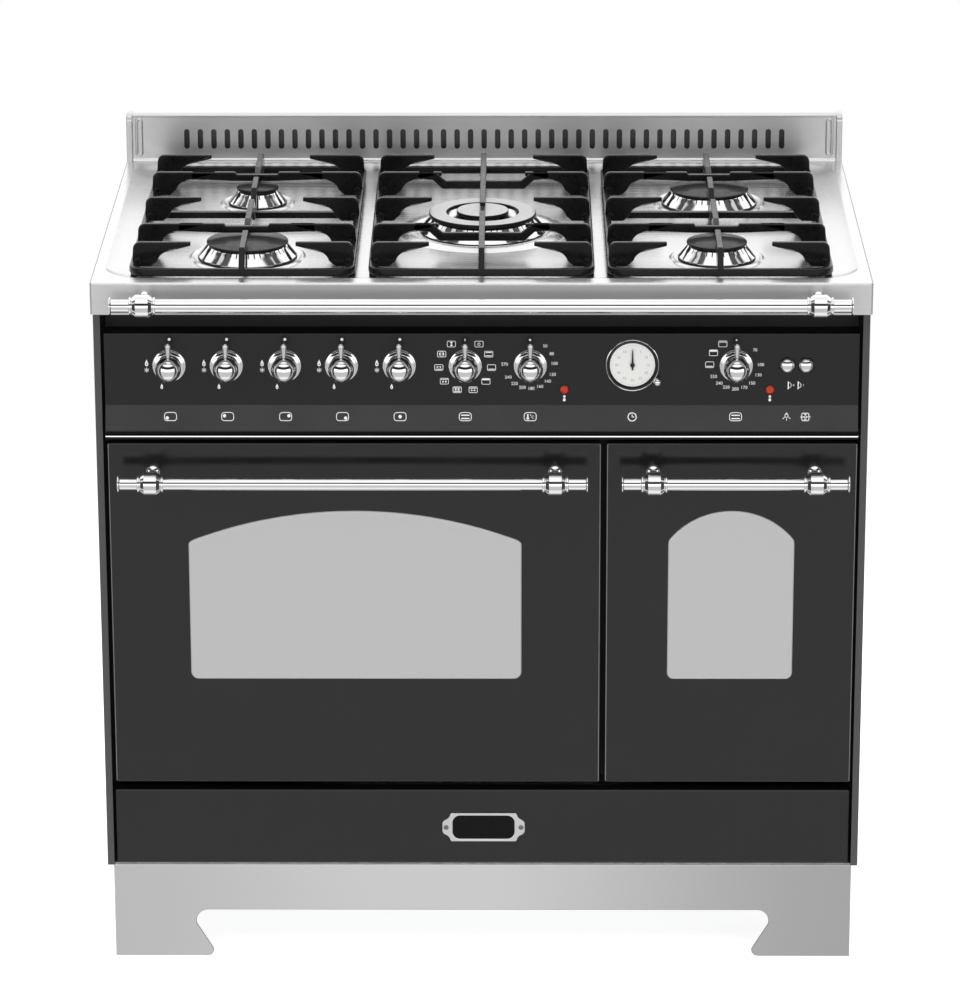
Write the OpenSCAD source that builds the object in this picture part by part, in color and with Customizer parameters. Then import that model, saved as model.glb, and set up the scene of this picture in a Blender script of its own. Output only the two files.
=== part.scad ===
// Free-standing range cooker: five gas burners over two drop-down ovens and a
// storage drawer. Millimetres, +Z up, -Y is the front. The origin is on the
// floor under the centre of the whole cooker.

/* [Body] */
// Overall width over the worktop lip
cooker_w = 900; // [896:1:904]
// Height of the worktop's raised border above the floor
worktop_h = 850; // [846:1:854]
// Depth of the worktop from its lip to its rear edge
worktop_d = 600; // [596:1:604]
// Height of the folded lip at the edge of the worktop
lip_h = 37.8; // [34:0.2:40]
// Depth of the pressed well below the raised border
well_depth = 8; // [6:0.5:9]
// Height of the splashback above the worktop
splash_h = 60; // [56:1:80]
// Depth of the splashback's top
splash_d = 16; // [12:1:34]
// Thickness of the folded sheet metal
sheet = 1.5; // [1.2:0.1:1.6]

/* [Hob] */
// Height of the pan supports' top above the well floor
support_h = 36; // [33:1:40]
// Thickness of the cast plates of the pan supports
plate_t = 7; // [6:0.5:9]
// Diameter of the cap of the rapid burners
rapid_cap_d = 96; // [90:1:98]
// Diameter of the cap of the semi-rapid burner
semi_cap_d = 71; // [64:1:76]
// Diameter of the cap of the small burner
small_cap_d = 51; // [44:1:56]

/* [Controls] */
// Height of the knob axes above the floor
knob_z = 744.5; // [742:0.5:747]
// Diameter of the chrome ball of a knob
ball_d = 30; // [27:0.5:30]
// Reach of a knob's lever from the knob axis
lever_r = 32; // [28:0.5:32]
// Diameter of the control spindles
spindle_d = 8; // [8:0.5:9]
// Radial running clearance of spindles, pins and stems
run_c = 0.05; // [0.03:0.01:0.1]

/* [Rails] */
// Diameter of the towel rail's bar
towel_d = 16; // [14:0.5:17]
// Diameter of the door handles' bars
handle_d = 15; // [12:0.5:15]
// Diameter of the collars that hold the bars
collar_d = 27; // [24:0.5:27]

/* [Ovens and drawer] */
// Depth of the oven cavities
cavity_d = 400; // [380:5:410]
// Diameter of the door hinge pins
hinge_d = 8; // [7:0.5:8]
// Depth of the drawer box
drawer_d = 480; // [400:10:490]

/* [Hidden] */
$fn = 48;

hw = cooker_w / 2;               // half width of the worktop
top_y0 = -276;                   // front face of the worktop lip
top_y1 = top_y0 + worktop_d;     // rear edge of the worktop
splash_y1 = 289 + splash_d;      // rear face of the splashback
face_y = -254;                   // front plane of doors, panel and drawer
side_x = hw - 1;                 // outer face of the side panels
body_y1 = 304;                   // rear face of the body
lip_z = worktop_h - lip_h;       // lower edge of the lip
well_z = worktop_h - well_depth; // floor of the pressed well
plinth_h = 119;
frame_y = -213;                  // front plane of the oven frame
pin_y = -238;                    // door hinge axis
pin_z = 240;
door_z0 = 226;
door_z1 = 650;
// door edges and window edges, left and right
ldoor = [-436, 139];
rdoor = [146, 437.5];
lwin = [-344, 46.5];
rwin = [218.6, 366.3];
// oven cavities, inner faces
lcav = [-390, 90];
rcav = [186, 400];
cav_z = [270, 620];
// burner centres
b_fl = [-275.5, -135];
b_rl = [-276, 109];
b_c = [0, -19];
b_rr = [276, 108];
b_fr = [275.5, -140];
// knob positions along X
k_fl = -362;
k_rl = -295.6;
k_rr = -228.2;
k_fr = -162.1;
k_ce = -95.2;
k_fn = -18.9;
k_ht = 56.5;
k_so = 294.9;
timer_x = 174.8;
set_x = 203.6;
set_z = 727.4;
bezel_h = 4;

// ---------------------------------------------------------------- helpers
function arc(cx, cy, r, a0, a1, n) =
    [for (i = [0:n]) let (a = a0 + (a1 - a0) * i / n) [cx + r * cos(a), cy + r * sin(a)]];
function rr(x0, y0, x1, y1, r, n = 6) = concat(
    arc(x0 + r, y0 + r, r, 180, 270, n), arc(x1 - r, y0 + r, r, 270, 360, n),
    arc(x1 - r, y1 - r, r, 0, 90, n), arc(x0 + r, y1 - r, r, 90, 180, n));
function mix(a, b, t) = a * (1 - t) + b * t;
function bend(a, b, c, n) = [for (i = [0:n]) let (t = i / n) mix(mix(a, b, t), mix(b, c, t), t)];

module box(a, b) translate(a) cube(b - a);
module xcyl(x0, x1, y, z, d) translate([x0, y, z]) rotate([0, 90, 0]) cylinder(h = x1 - x0, d = d);
module ycyl(x, y0, y1, z, d) translate([x, y1, z]) rotate([90, 0, 0]) cylinder(h = y1 - y0, d = d);
// an XZ outline as a plate from y0 to y1
module xz(y0, y1) translate([0, y1, 0]) rotate([90, 0, 0]) linear_extrude(y1 - y0) children();
// a YZ outline as a plate from x0 to x1
module yz(x0, x1) translate([x0, 0, 0]) rotate([90, 0, 90]) linear_extrude(x1 - x0) children();
// a lathe profile [radius, distance to the front] turned about a horizontal axis towards the front
module lathe_y(x, y, z) translate([x, y, z]) rotate([90, 0, 0]) rotate_extrude() children();
// a straight pipe between two points
module pipe(p, q, d) {
    v = q - p;
    l = norm(v);
    translate(p) rotate([0, acos(v[2] / l), atan2(v[1], v[0])]) cylinder(h = l, d = d);
}

// ---------------------------------------------------------------- body
module plinth() color([0.72, 0.72, 0.72]) {
    w = side_x - 7;
    toe = concat([[-335, -1]], arc(-332, 8, 8, 300, 375, 5),
        arc(-330, 46, 14, 195, 90, 6));
    difference() {
        union() {
            box([-w, -252, 0], [w, -252 + sheet, plinth_h]);
            box([-w, -252, 0], [-w + sheet, -205, plinth_h]);
            box([w - sheet, -252, 0], [w, -205, plinth_h]);
            box([-w, -252, plinth_h - sheet], [w, -226, plinth_h]);
        }
        xz(-253, -249) polygon(concat(toe, [for (i = [len(toe) - 1:-1:0]) [-toe[i][0], toe[i][1]]]));
    }
}

module adjustable_feet() color([0.55, 0.55, 0.57])
    for (x = [-395, 395], y = [-180, 265]) translate([x, y, 0]) union() {
        cylinder(h = 10, d1 = 46, d2 = 50);
        cylinder(h = 80, d = 32);
        translate([0, 0, 62]) cylinder(h = plinth_h - 62, d = 42);
        translate([0, 0, plinth_h - 4]) cylinder(h = 4, d = 64);
    }

module base_pan() color([0.6, 0.61, 0.62]) {
    w = side_x - sheet;
    union() {
        box([-w, -250, plinth_h], [w, body_y1 - 2 * sheet, plinth_h + sheet]);
        box([-w, body_y1 - 4 * sheet, plinth_h], [w, body_y1 - 3 * sheet, plinth_h + 24]);
    }
}

module side_panel() {
    x = side_x;
    union() {
        box([x - sheet, face_y, plinth_h], [x, body_y1, lip_z]);
        box([x - 8, face_y, plinth_h], [x, face_y + sheet, lip_z]);
        box([x - 14, body_y1 - sheet, plinth_h], [x, body_y1, lip_z]);
        // joggle inside the lip that carries the worktop
        box([x - 11, -226, lip_z - sheet], [x, 285, lip_z]);
        box([x - 11, -226, lip_z - sheet], [x - 11 + sheet, 285, worktop_h - sheet]);
    }
}
module side_panels() color([0.24, 0.24, 0.25]) {
    side_panel();
    mirror([1, 0, 0]) side_panel();
}

module rear_panel() color([0.6, 0.61, 0.62]) {
    w = side_x - sheet;
    union() {
        difference() {
            box([-w, body_y1 - 2 * sheet, plinth_h], [w, body_y1 - sheet, lip_z - sheet]);
            for (g = [-250, 90], i = [0:9])
                xz(295, 310) translate([g + i * 16, 560]) polygon(rr(0, 0, 6, 70, 3, 3));
            for (i = [0:23])
                xz(295, 310) translate([-190 + i * 16, 180]) polygon(rr(0, 0, 6, 60, 3, 3));
            ycyl(-360, 295, 310, 780, 30);
        }
        // terminal box with a bore for a cable gland
        difference() {
            union() {
                box([300, body_y1 - sheet, 220], [380, 322, 290]);
                translate([340, 313, 210]) cylinder(h = 11, d = 17.6);
            }
            box([302, body_y1 - 2 * sheet, 222], [378, 320, 288]);
            translate([340, 313, 205]) cylinder(h = 20, d = 11);
        }
    }
}

module hinge_bracket(x0, x1)
    difference() {
        union() {
            box([x0, pin_y, pin_z - 7], [x1, frame_y + 0.5, pin_z + 7]);
            xcyl(x0, x1, pin_y, pin_z, 16);
        }
        xcyl(x0 - 1, x1 + 1, pin_y, pin_z, hinge_d + 2 * run_c);
    }

module front_frame() color([0.05, 0.05, 0.055]) {
    w = side_x - sheet;
    union() {
        difference() {
            box([-w, frame_y, plinth_h + sheet], [w, frame_y + sheet, 664]);
            xz(frame_y - 1, frame_y + 3) polygon(rr(lcav[0], cav_z[0], lcav[1], cav_z[1], 18, 5));
            xz(frame_y - 1, frame_y + 3) polygon(rr(rcav[0], cav_z[0], rcav[1], cav_z[1], 18, 5));
            box([-433, frame_y - 1, plinth_h + 4], [433, frame_y + 3, 220]);
        }
        // hollow cross rail behind the trim strip
        box([-439, -246, 652], [439, frame_y + sheet, 652 + sheet]);
        box([-439, -246, 652], [439, -246 + sheet, 665]);
        box([-439, -246, 665 - sheet], [439, frame_y + sheet, 665]);
        // side posts between frame and panels
        box([-447.5, frame_y, 664 - sheet], [-439, frame_y + sheet, 800]);
        box([439, frame_y, 664 - sheet], [447.5, frame_y + sheet, 800]);
        hinge_bracket(ldoor[0] + 6, ldoor[0] + 18);
        hinge_bracket(ldoor[1] - 18, ldoor[1] - 6);
        hinge_bracket(rdoor[0] + 6, rdoor[0] + 18);
        hinge_bracket(rdoor[1] - 18, rdoor[1] - 6);
    }
}

module trim_strip() color([0.85, 0.85, 0.86])
    union() {
        box([-438, face_y, 657], [438, -246, 659.5]);
        box([-438, -247.5, 655.5], [438, -246, 661]);
    }

// ---------------------------------------------------------------- worktop
module worktop() color([0.78, 0.78, 0.78]) {
    wx = hw - 16.5;
    difference() {
        union() {
            difference() {
                box([-hw, top_y0, lip_z], [hw, top_y1, worktop_h]);
                box([-hw + sheet, top_y0 + sheet, lip_z - 1], [hw - sheet, top_y1 - sheet, worktop_h - sheet]);
            }
            translate([0, 0, well_z - sheet]) linear_extrude(well_depth + sheet)
                polygon(rr(-wx - sheet, -250 - sheet, wx + sheet, 270 + sheet, 41.5, 6));
        }
        translate([0, 0, well_z]) linear_extrude(well_depth + 1)
            polygon(rr(-wx, -250, wx, 270, 40, 6));
        for (b = [[b_fl, 96], [b_rl, 52], [b_c, 130], [b_rr, 96], [b_fr, 72]])
            translate([b[0][0], b[0][1], well_z - 5]) cylinder(h = 10, d = b[1]);
    }
}

module splashback() color([0.72, 0.72, 0.72]) {
    z1 = worktop_h + splash_h;
    union() {
        difference() {
            box([-hw + 8, 289, worktop_h], [hw - 8, 289 + sheet, z1 - 2]);
            for (i = [-22:22])
                xz(288, 292) translate([i * 17, 0]) polygon(rr(-3.2, z1 - 45, 3.2, z1 - 20, 3.2, 4));
        }
        box([-hw + 8, 289, z1 - 2 - sheet], [hw - 8, splash_y1, z1 - 2]);
        box([-hw + 8, 289, worktop_h], [hw - 8, 300, worktop_h + sheet]);
        // rear leaf
        box([-hw + 8, splash_y1 - sheet, worktop_h], [hw - 8, splash_y1, z1 - 2]);
        // embossed ovals near the ends
        for (x = [-434, 434])
            xz(287.5, 289.5) polygon(rr(x - 5, worktop_h + 5, x + 5, z1 - 5, 4.9, 5));
        // end caps with a rounded front corner
        for (s = [-1, 1]) yz(s > 0 ? hw - 8 : -hw, s > 0 ? hw : -hw + 8)
            polygon(concat([[287, worktop_h], [splash_y1, worktop_h], [splash_y1, z1]], arc(297, z1 - 10, 10, 90, 180, 6)));
    }
}

// ---------------------------------------------------------------- burners
// base radius of a crown for a cap of diameter d
function crown_r(d) = d / 2 + 9.5;

module burner_body(p, hole_d, ring_r)
    translate([p[0], p[1], 0]) difference() {
        union() {
            translate([0, 0, well_z - 30]) cylinder(h = 32, d = hole_d - 1);
            translate([0, 0, well_z - 4]) cylinder(h = 4 - sheet, r = ring_r);
            translate([0, 0, well_z - 42]) cylinder(h = 13, d = 26);
        }
        translate([0, 0, well_z - 24]) cylinder(h = 40, d = hole_d - 9);
    }
// a small white spark electrode behind the crown
module electrode(x, y) translate([x, y, 0]) union() {
    translate([0, 0, well_z]) cylinder(h = 14, d = 6);
    translate([0, 0, well_z]) cylinder(h = 18, d = 2.4);
}
module burner_bodies() color([0.6, 0.6, 0.6]) {
    burner_body(b_fl, 96, 54);
    burner_body(b_rl, 52, 32);
    burner_body(b_c, 130, 71);
    burner_body(b_rr, 96, 54);
    burner_body(b_fr, 72, 42);
    electrode(b_fl[0], b_fl[1] + 65);
    electrode(b_rl[0], b_rl[1] + 43);
    electrode(b_c[0], b_c[1] + 82.4);
    electrode(b_rr[0], b_rr[1] + 65);
    electrode(b_fr[0], b_fr[1] + 53.2);
}

// tapering polished crown, open inside
module crown(p, d) translate([p[0], p[1], well_z + 2]) rotate_extrude()
    polygon([[d / 2 - 12, 0], [crown_r(d), 0], [crown_r(d), 1.5], [d / 2 - 1.5, 14.5], [d / 2 - 4, 16], [d / 2 - 12, 16]]);
module burner_crowns() color([0.75, 0.75, 0.76]) {
    crown(b_fl, rapid_cap_d);
    crown(b_rr, rapid_cap_d);
    crown(b_fr, semi_cap_d);
    crown(b_rl, small_cap_d);
    // double ring: outer crown, and a raised inner crown on a bridge
    translate([b_c[0], b_c[1], well_z + 2]) rotate_extrude()
        polygon([[50, 0], [75, 0], [75, 1.5], [62, 16], [60, 17.5], [50, 17.5]]);
    translate([b_c[0], b_c[1], well_z - 24]) difference() {
        cylinder(h = 46, r = 27);
        translate([0, 0, -1]) cylinder(h = 40, r = 21);
    }
}

// domed cap with a square rim
module cap(p, d) translate([p[0], p[1], well_z + 18]) rotate_extrude()
    polygon(concat([[0, 0], [d / 2, 0]], arc(0, 5.2 - d * 4, d * 4, 90 - asin(0.1222), 90, 6)));
module burner_caps() color([0.06, 0.06, 0.06]) {
    cap(b_fl, rapid_cap_d);
    cap(b_rr, rapid_cap_d);
    cap(b_fr, semi_cap_d);
    cap(b_rl, small_cap_d);
    translate([b_c[0], b_c[1], well_z + 19.5]) rotate_extrude()
        polygon([[43, 0], [64, 0], [64, 3], [62.5, 4.5], [44.5, 4.5], [43, 3]]);
    translate([b_c[0], b_c[1], well_z + 22]) rotate_extrude()
        polygon([[0, 0], [31, 0], [31, 3], [29.5, 4.5], [0, 4.5]]);
}

// tap body behind the panel with a bore for its spindle
module tap(x) difference() {
    ycyl(x, -252.5, -188, knob_z, 26);
    ycyl(x, -254, -246, knob_z, 18.6);
    ycyl(x, -247, -217, knob_z, spindle_d + 2 * run_c);
}
module feed(x, b, z, d = 8) {
    pipe([x, -200, knob_z], [x, -200, z], d);
    pipe([x, -200, z], [b[0], b[1], z], d);
    pipe([b[0], b[1], z], [b[0], b[1], well_z - 42], d);
    translate([x, -200, z]) sphere(d = d + 2);
    translate([b[0], b[1], z]) sphere(d = d + 2);
}
module gas_manifold() color([0.7, 0.62, 0.4]) {
    union() {
        difference() {
            xcyl(-400, -70, -194, knob_z, 18);
            for (x = [k_fl, k_rl, k_rr, k_fr, k_ce]) ycyl(x, -254, -217, knob_z, 12);
        }
        tap(k_fl);
        tap(k_rl);
        tap(k_rr);
        tap(k_fr);
        tap(k_ce);
        feed(k_fl, b_fl, 782);
        feed(k_rl, b_rl, 770);
        feed(k_rr, b_rr, 776);
        feed(k_fr, b_fr, 788);
        feed(k_ce, b_c, 794);
        // inlet pipe to the threaded elbow at the back
        pipe([-412, -194, knob_z], [-400, -194, knob_z], 22);
        pipe([-412, -194, knob_z], [-412, 250, knob_z], 15);
        pipe([-412, 250, knob_z], [-360, 250, 780], 15);
        pipe([-360, 250, 780], [-360, 320, 780], 15);
        translate([-412, -194, knob_z]) sphere(d = 24);
        translate([-412, 250, knob_z]) sphere(d = 18);
        translate([-360, 250, 780]) sphere(d = 18);
        translate([-360, 306, 780]) rotate([-90, 0, 0]) cylinder(h = 16, d = 21);
    }
}

// ---------------------------------------------------------------- ovens
// one cavity: a rounded box open to the front, with rack ledges
module cavity(c, ledges, hole) {
    y0 = frame_y + sheet;
    y1 = y0 + cavity_d;
    difference() {
        union() {
            difference() {
                xz(y0, y1) polygon(rr(c[0] - sheet, cav_z[0] - sheet, c[1] + sheet, cav_z[1] + sheet, 19.5, 5));
                xz(y0 - 1, y1 - sheet) polygon(rr(c[0], cav_z[0], c[1], cav_z[1], 18, 5));
            }
            for (z = ledges) {
                box([c[0] - 1, y0 + 10, z - 5], [c[0] + 9, y1 - 60, z]);
                box([c[1] - 9, y0 + 10, z - 5], [c[1] + 1, y1 - 60, z]);
            }
        }
        if (hole) ycyl(-150, y1 - 5, y1 + 5, 450, 16);
    }
}
module left_oven_cavity() color([0.16, 0.17, 0.2]) cavity(lcav, [330, 400, 470, 540], true);
module right_oven_cavity() color([0.16, 0.17, 0.2]) cavity(rcav, [330, 400, 470, 540], false);

module seal(c) xz(-218.7, frame_y) difference() {
    polygon(rr(c[0] - 12, cav_z[0] - 11, c[1] + 12, cav_z[1] + 12, 28, 5));
    polygon(rr(c[0] - 4, cav_z[0] - 3, c[1] + 4, cav_z[1] + 4, 20, 5));
}
module door_seals() color([0.1, 0.1, 0.1]) {
    seal(lcav);
    seal(rcav);
}

// wire rack lying on the ledges
module rack(c, z, n) {
    x0 = c[0] + 5;
    x1 = c[1] - 5;
    union() {
        xcyl(x0, x1, -180, z + 3, 6);
        xcyl(x0, x1, 110, z + 3, 6);
        ycyl(x0, -184.5, 114.5, z + 3.2, 6.4);
        ycyl(x1, -184.5, 114.5, z + 3.2, 6.4);
        for (i = [1:n - 1]) ycyl(x0 + (x1 - x0) * i / n, -181.4, 111.4, z + 5.6, 3.2);
    }
}
module oven_racks() color([0.75, 0.75, 0.77]) {
    rack(lcav, 400.3, 13);
    rack(rcav, 400.3, 6);
}

// bent tubular heater lying flat: n legs joined by half rings, the outer two reach back to ye
module heater(x0, pitch, n, y0, y1, ye, z, d) union() {
    for (i = [0:n - 1]) ycyl(x0 + i * pitch, y0, (i == 0 || i == n - 1) ? ye : y1, z, d);
    for (i = [0:n - 2]) translate([x0 + (i + 0.5) * pitch, i % 2 == 0 ? y0 : y1, z])
        rotate([0, 0, i % 2 == 0 ? 180 : 0]) rotate_extrude(angle = 180) translate([pitch / 2, 0]) circle(d = d);
}
module heating_elements() color([0.3, 0.28, 0.27]) {
    heater(-285, 90, 4, -130, 120, 186.9, 602, 6.5);
    heater(258, 70, 2, -130, 143, 186.9, 602, 6.5);
    heater(-240, 180, 2, -100, 100, 145, 262, 6.5);
    heater(243, 100, 2, -140, 100, 145, 262, 6.5);
}

module fan_cover() color([0.2, 0.2, 0.22]) {
    y1 = frame_y + sheet + cavity_d - sheet;
    difference() {
        xz(y1 - 42, y1) polygon(rr(-265, 345, -35, 555, 20, 5));
        xz(y1 - 40.5, y1 + 1) polygon(rr(-263.5, 346.5, -36.5, 553.5, 18.5, 5));
        for (a = [0:30:330]) ycyl(-150 + 52 * cos(a), y1 - 45, y1 - 35, 450 + 52 * sin(a), 17);
        for (a = [0:60:300]) ycyl(-150 + 26 * cos(a), y1 - 45, y1 - 35, 450 + 26 * sin(a), 15);
        for (s = [-1, 1], i = [0:7]) box([-150 + s * 100 - 4, y1 - 45, 370 + i * 20], [-150 + s * 100 + 4, y1 - 35, 380 + i * 20]);
    }
}
module fan_rotor() color([0.6, 0.6, 0.62]) {
    y1 = frame_y + sheet + cavity_d - sheet;
    union() {
        ycyl(-150, y1 - 28, y1 + 40, 450, 8);
        ycyl(-150, y1 - 30, y1 - 10, 450, 26);
        ycyl(-150, y1 - 12, y1 - 10.5, 450, 150);
        for (i = [0:9]) translate([-150, 0, 450]) rotate([0, i * 36, 0])
            box([40, y1 - 30, -0.8], [72, y1 - 11, 0.8]);
    }
}
module fan_motor() color([0.5, 0.5, 0.52]) {
    y2 = frame_y + sheet + cavity_d;
    difference() {
        union() {
            box([-205, y2, 395], [-95, y2 + 2, 505]);
            ycyl(-150, y2 + 1, y2 + 60, 450, 72);
            box([-182, y2 + 20, 414], [-118, y2 + 40, 486]);
        }
        ycyl(-150, y2 - 1, y2 + 3, 450, 16);
        ycyl(-150, y2 + 2, y2 + 44, 450, 8 + 2 * run_c);
    }
}
module oven_lamps() color([0.9, 0.88, 0.8]) {
    y1 = frame_y + sheet + cavity_d - sheet;
    for (p = [[40, 560], [293, 560]]) union() {
        ycyl(p[0], y1 - 14, y1, p[1], 44);
        ycyl(p[0], y1 - 26, y1 - 14, p[1], 36);
    }
}

// ---------------------------------------------------------------- doors
// window outline: square foot with small radii, arched head
function window(x0, x1, z0, zs, za, r) =
    let (c = (x1 - x0) / 2, h = za - zs, R = (c * c + h * h) / (2 * h), cx = (x0 + x1) / 2,
        a = asin(c / R), k = min(9, c / 6))
    concat(arc(x0 + r, z0 + r, r, 180, 270, 4), arc(x1 - r, z0 + r, r, 270, 360, 4),
        bend([x1, zs - 4], [x1, zs], arc(cx, za - R, R, 90 - a, 90, 24)[1], 3),
        [for (i = [2:46]) let (t = 90 - a + 2 * a * i / 48) [cx + R * cos(t), za - R + R * sin(t)]],
        bend(arc(cx, za - R, R, 90 + a, 90, 24)[1], [x0, zs], [x0, zs - 4], 3));

module door_panel(d, win) difference() {
    union() {
        box([d[0], face_y, door_z0], [d[1], face_y + sheet, door_z1]);
        box([d[0], face_y, door_z0], [d[0] + sheet, face_y + 12, door_z1]);
        box([d[1] - sheet, face_y, door_z0], [d[1], face_y + 12, door_z1]);
        box([d[0], face_y, door_z1 - sheet], [d[1], face_y + 12, door_z1]);
        box([d[0], face_y, door_z0], [d[1], face_y + 5, door_z0 + sheet]);
    }
    xz(face_y - 1, face_y + 3) polygon(win);
}
module left_door_panel() color([0.21, 0.21, 0.215]) door_panel(ldoor, window(lwin[0], lwin[1], 357, 529, 567, 9));
module right_door_panel() color([0.21, 0.21, 0.215]) door_panel(rdoor, window(rwin[0], rwin[1], 357, 530, 567, 8));

// the window is a pane in the aperture on a wider pane behind the skin
module door_glass(w, win) union() {
    xz(face_y + 0.2, face_y + sheet + 0.1) intersection() {
        polygon(win);
        square([2000, 1134], center = true);
    }
    box([w[0] - 20, face_y + sheet, 340], [w[1] + 20, face_y + sheet + 4, 585]);
}
module left_door_glass() color([0.72, 0.72, 0.73]) door_glass(lwin, window(lwin[0], lwin[1], 357, 529, 567, 9));
module right_door_glass() color([0.72, 0.72, 0.73]) door_glass(rwin, window(rwin[0], rwin[1], 357, 530, 567, 8));

// inner shell with its pane, and the two hinge pins
module door_inner(d, c) {
    x0 = d[0] + 20;
    x1 = d[1] - 20;
    y0 = face_y + sheet;
    y1 = -219;
    g0 = c[0] + 45;
    g1 = c[1] - 45;
    union() {
        difference() {
            box([x0, y0, 247], [x1, y1, 646]);
            box([x0 + sheet, y0 - 1, 247 + sheet], [x1 - sheet, y1 - sheet, 646 - sheet]);
            box([g0, y1 - 3, 320], [g1, y1 + 1, 585]);
        }
        box([g0 - 12, y1 - sheet - 5, 308], [g1 + 12, y1 - sheet, 597]);
        // hinge ears below the shell and their pins
        for (s = [0, 1]) {
            e0 = s == 0 ? x0 : x1 - 4;
            box([e0, pin_y - 6, pin_z - 6], [e0 + 4, pin_y + 8, 250]);
            xcyl(s == 0 ? x0 - 14 : x1 - 4, s == 0 ? x0 + 4 : x1 + 14, pin_y, pin_z, hinge_d);
        }
    }
}
module left_door_inner() color([0.12, 0.12, 0.13]) door_inner(ldoor, lcav);
module right_door_inner() color([0.12, 0.12, 0.13]) door_inner(rdoor, rcav);

// turned collar on a bar, its neck and end flange towards -X
module collar() translate([0, 0, 0]) rotate([0, -90, 0]) rotate_extrude()
    polygon([[0, -15], [10.4, -15], [10.4, -12.6], [9.2, -12.6], [9.2, -11.4], [10.8, -11.4],
        [collar_d / 2, -7], [collar_d / 2, 7], [10.8, 11.4], [9.2, 11.4], [9.2, 12.6], [10.4, 12.6],
        [10.4, 15], [7.6, 15], [7.6, 35.5], [9, 35.5], [10.3, 36.3], [10.3, 37.4], [9.4, 38], [0, 38]]);
module rail(x0, x1, y, z, d, wall_y) union() {
    xcyl(x0 + 30, x1 - 30, y, z, d);
    translate([x0 + 38, y, z]) collar();
    translate([x1 - 38, y, z]) mirror([1, 0, 0]) collar();
    for (x = [x0 + 38, x1 - 38]) union() {
        ycyl(x, y, wall_y, z, 14);
        ycyl(x, y + 14, y + 17, z, 19);
        lathe_y(x, wall_y, z) polygon([[0, 0], [11, 0], [11, 1.2], [8.5, 3.2], [0, 3.2]]);
    }
}
module towel_rail() color([0.85, 0.85, 0.86]) rail(-425, 425, -310.5, 832.6, towel_d, top_y0);
module left_door_handle() color([0.85, 0.85, 0.86]) rail(-421.4, 123.5, -299, 615, handle_d, face_y);
module right_door_handle() color([0.85, 0.85, 0.86]) rail(162, 426, -299, 615, handle_d, face_y);

// ---------------------------------------------------------------- drawer
module drawer_front() color([0.2, 0.2, 0.205]) {
    z0 = plinth_h + 3;
    z1 = 216;
    union() {
        box([-438, face_y, z0], [438, face_y + sheet, z1]);
        box([-438, face_y, z0], [438, face_y + 18, z0 + sheet]);
        box([-438, face_y, z1 - sheet], [438, face_y + 18, z1]);
        box([-438, face_y, z0], [-438 + sheet, face_y + 18, z1]);
        box([438 - sheet, face_y, z0], [438, face_y + 18, z1]);
    }
}
module drawer_box() color([0.4, 0.4, 0.42]) {
    y0 = face_y + 18;
    y1 = y0 + drawer_d;
    union() {
        difference() {
            box([-422, y0, 131], [422, y1, 206]);
            box([-422 + sheet, y0 + sheet, 131 + sheet], [422 - sheet, y1 - sheet, 207]);
        }
        box([-427, y0 + 30, 162], [-422, y1, 170]);
        box([422, y0 + 30, 162], [427, y1, 170]);
    }
}
module drawer_runners() color([0.6, 0.61, 0.62])
    for (s = [0, 1]) mirror([s, 0, 0]) difference() {
        union() {
            box([423.5, -205, 156], [447.5, 262, 176]);
        }
        box([422, -206, 161.6], [428, 263, 170.4]);
        box([430, -206, 158], [445.5, 263, 174]);
    }

module nameplate() color([0.75, 0.75, 0.75]) {
    cx = 1.5;
    cz = 168.6;
    // half outline of a plate with hollowed corners and rounded ears
    q = concat([[0, 18], [38.5, 18]], arc(48, 17.4, 8.2, 190, 262, 5), arc(44.5, 4.5, 4.7, 80, 0, 4));
    h = concat(q, [for (i = [len(q) - 1:-1:0]) [q[i][0], -q[i][1]]]);
    all = concat(h, [for (i = [len(h) - 1:-1:0]) [-h[i][0], h[i][1]]]);
    union() {
        translate([cx, 0, cz]) difference() {
            xz(face_y - 2, face_y) polygon(all);
            xz(face_y - 3, face_y - 1.2) polygon(rr(-36.8, -14.9, 36.8, 14.9, 9, 6));
        }
        for (s = [-1, 1]) translate([cx + s * 44.7, 0, cz]) difference() {
            ycyl(0, face_y - 3, face_y - 1, 0, 6);
            box([-3.5, face_y - 4, -0.5], [3.5, face_y - 2.4, 0.5]);
        }
    }
}

// ---------------------------------------------------------------- controls
module control_panel() color([0.2, 0.2, 0.205])
    difference() {
        yz(-437, 437) polygon([[-240, 666], [-262, 666], [face_y, 696.6], [face_y, 783.5], [-227.5, 783.5],
            [-227.5, well_z - sheet], [-226, well_z - sheet], [-226, 783.5 - sheet], [face_y + sheet, 783.5 - sheet],
            [face_y + sheet, 696.4], [-260.06, 667.5], [-240, 667.5]]);
        for (x = [k_fl, k_rl, k_rr, k_fr, k_ce, k_fn, k_ht, k_so]) ycyl(x, -260, -250, knob_z, 19);
        ycyl(timer_x, -260, -250, 745.4, 58);
        ycyl(set_x, -260, -250, set_z, 4.8);
        ycyl(96, -260, -250, 716, 10);
        ycyl(334.4, -260, -250, 716, 10);
        ycyl(354, -260, -250, 745, 19.1);
        ycyl(375.8, -260, -250, 745, 19.1);
        // screw slots in the hidden upstand
        for (x = [-400, 400]) ycyl(x, -230, -220, 800, 5);
    }

module knob_bezels() color([0.85, 0.85, 0.86])
    for (x = [k_fl, k_rl, k_rr, k_fr, k_ce, k_fn, k_ht, k_so]) lathe_y(x, face_y, knob_z)
        polygon([[13.2, 0], [19.5, 0], [19.5, 1.2], [18.2, 2.1], [17.4, 2.1], [17.4, 2.9], [16.1, 3.4],
            [15.6, 3.4], [15.6, bezel_h], [13.2, bezel_h]]);

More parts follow.
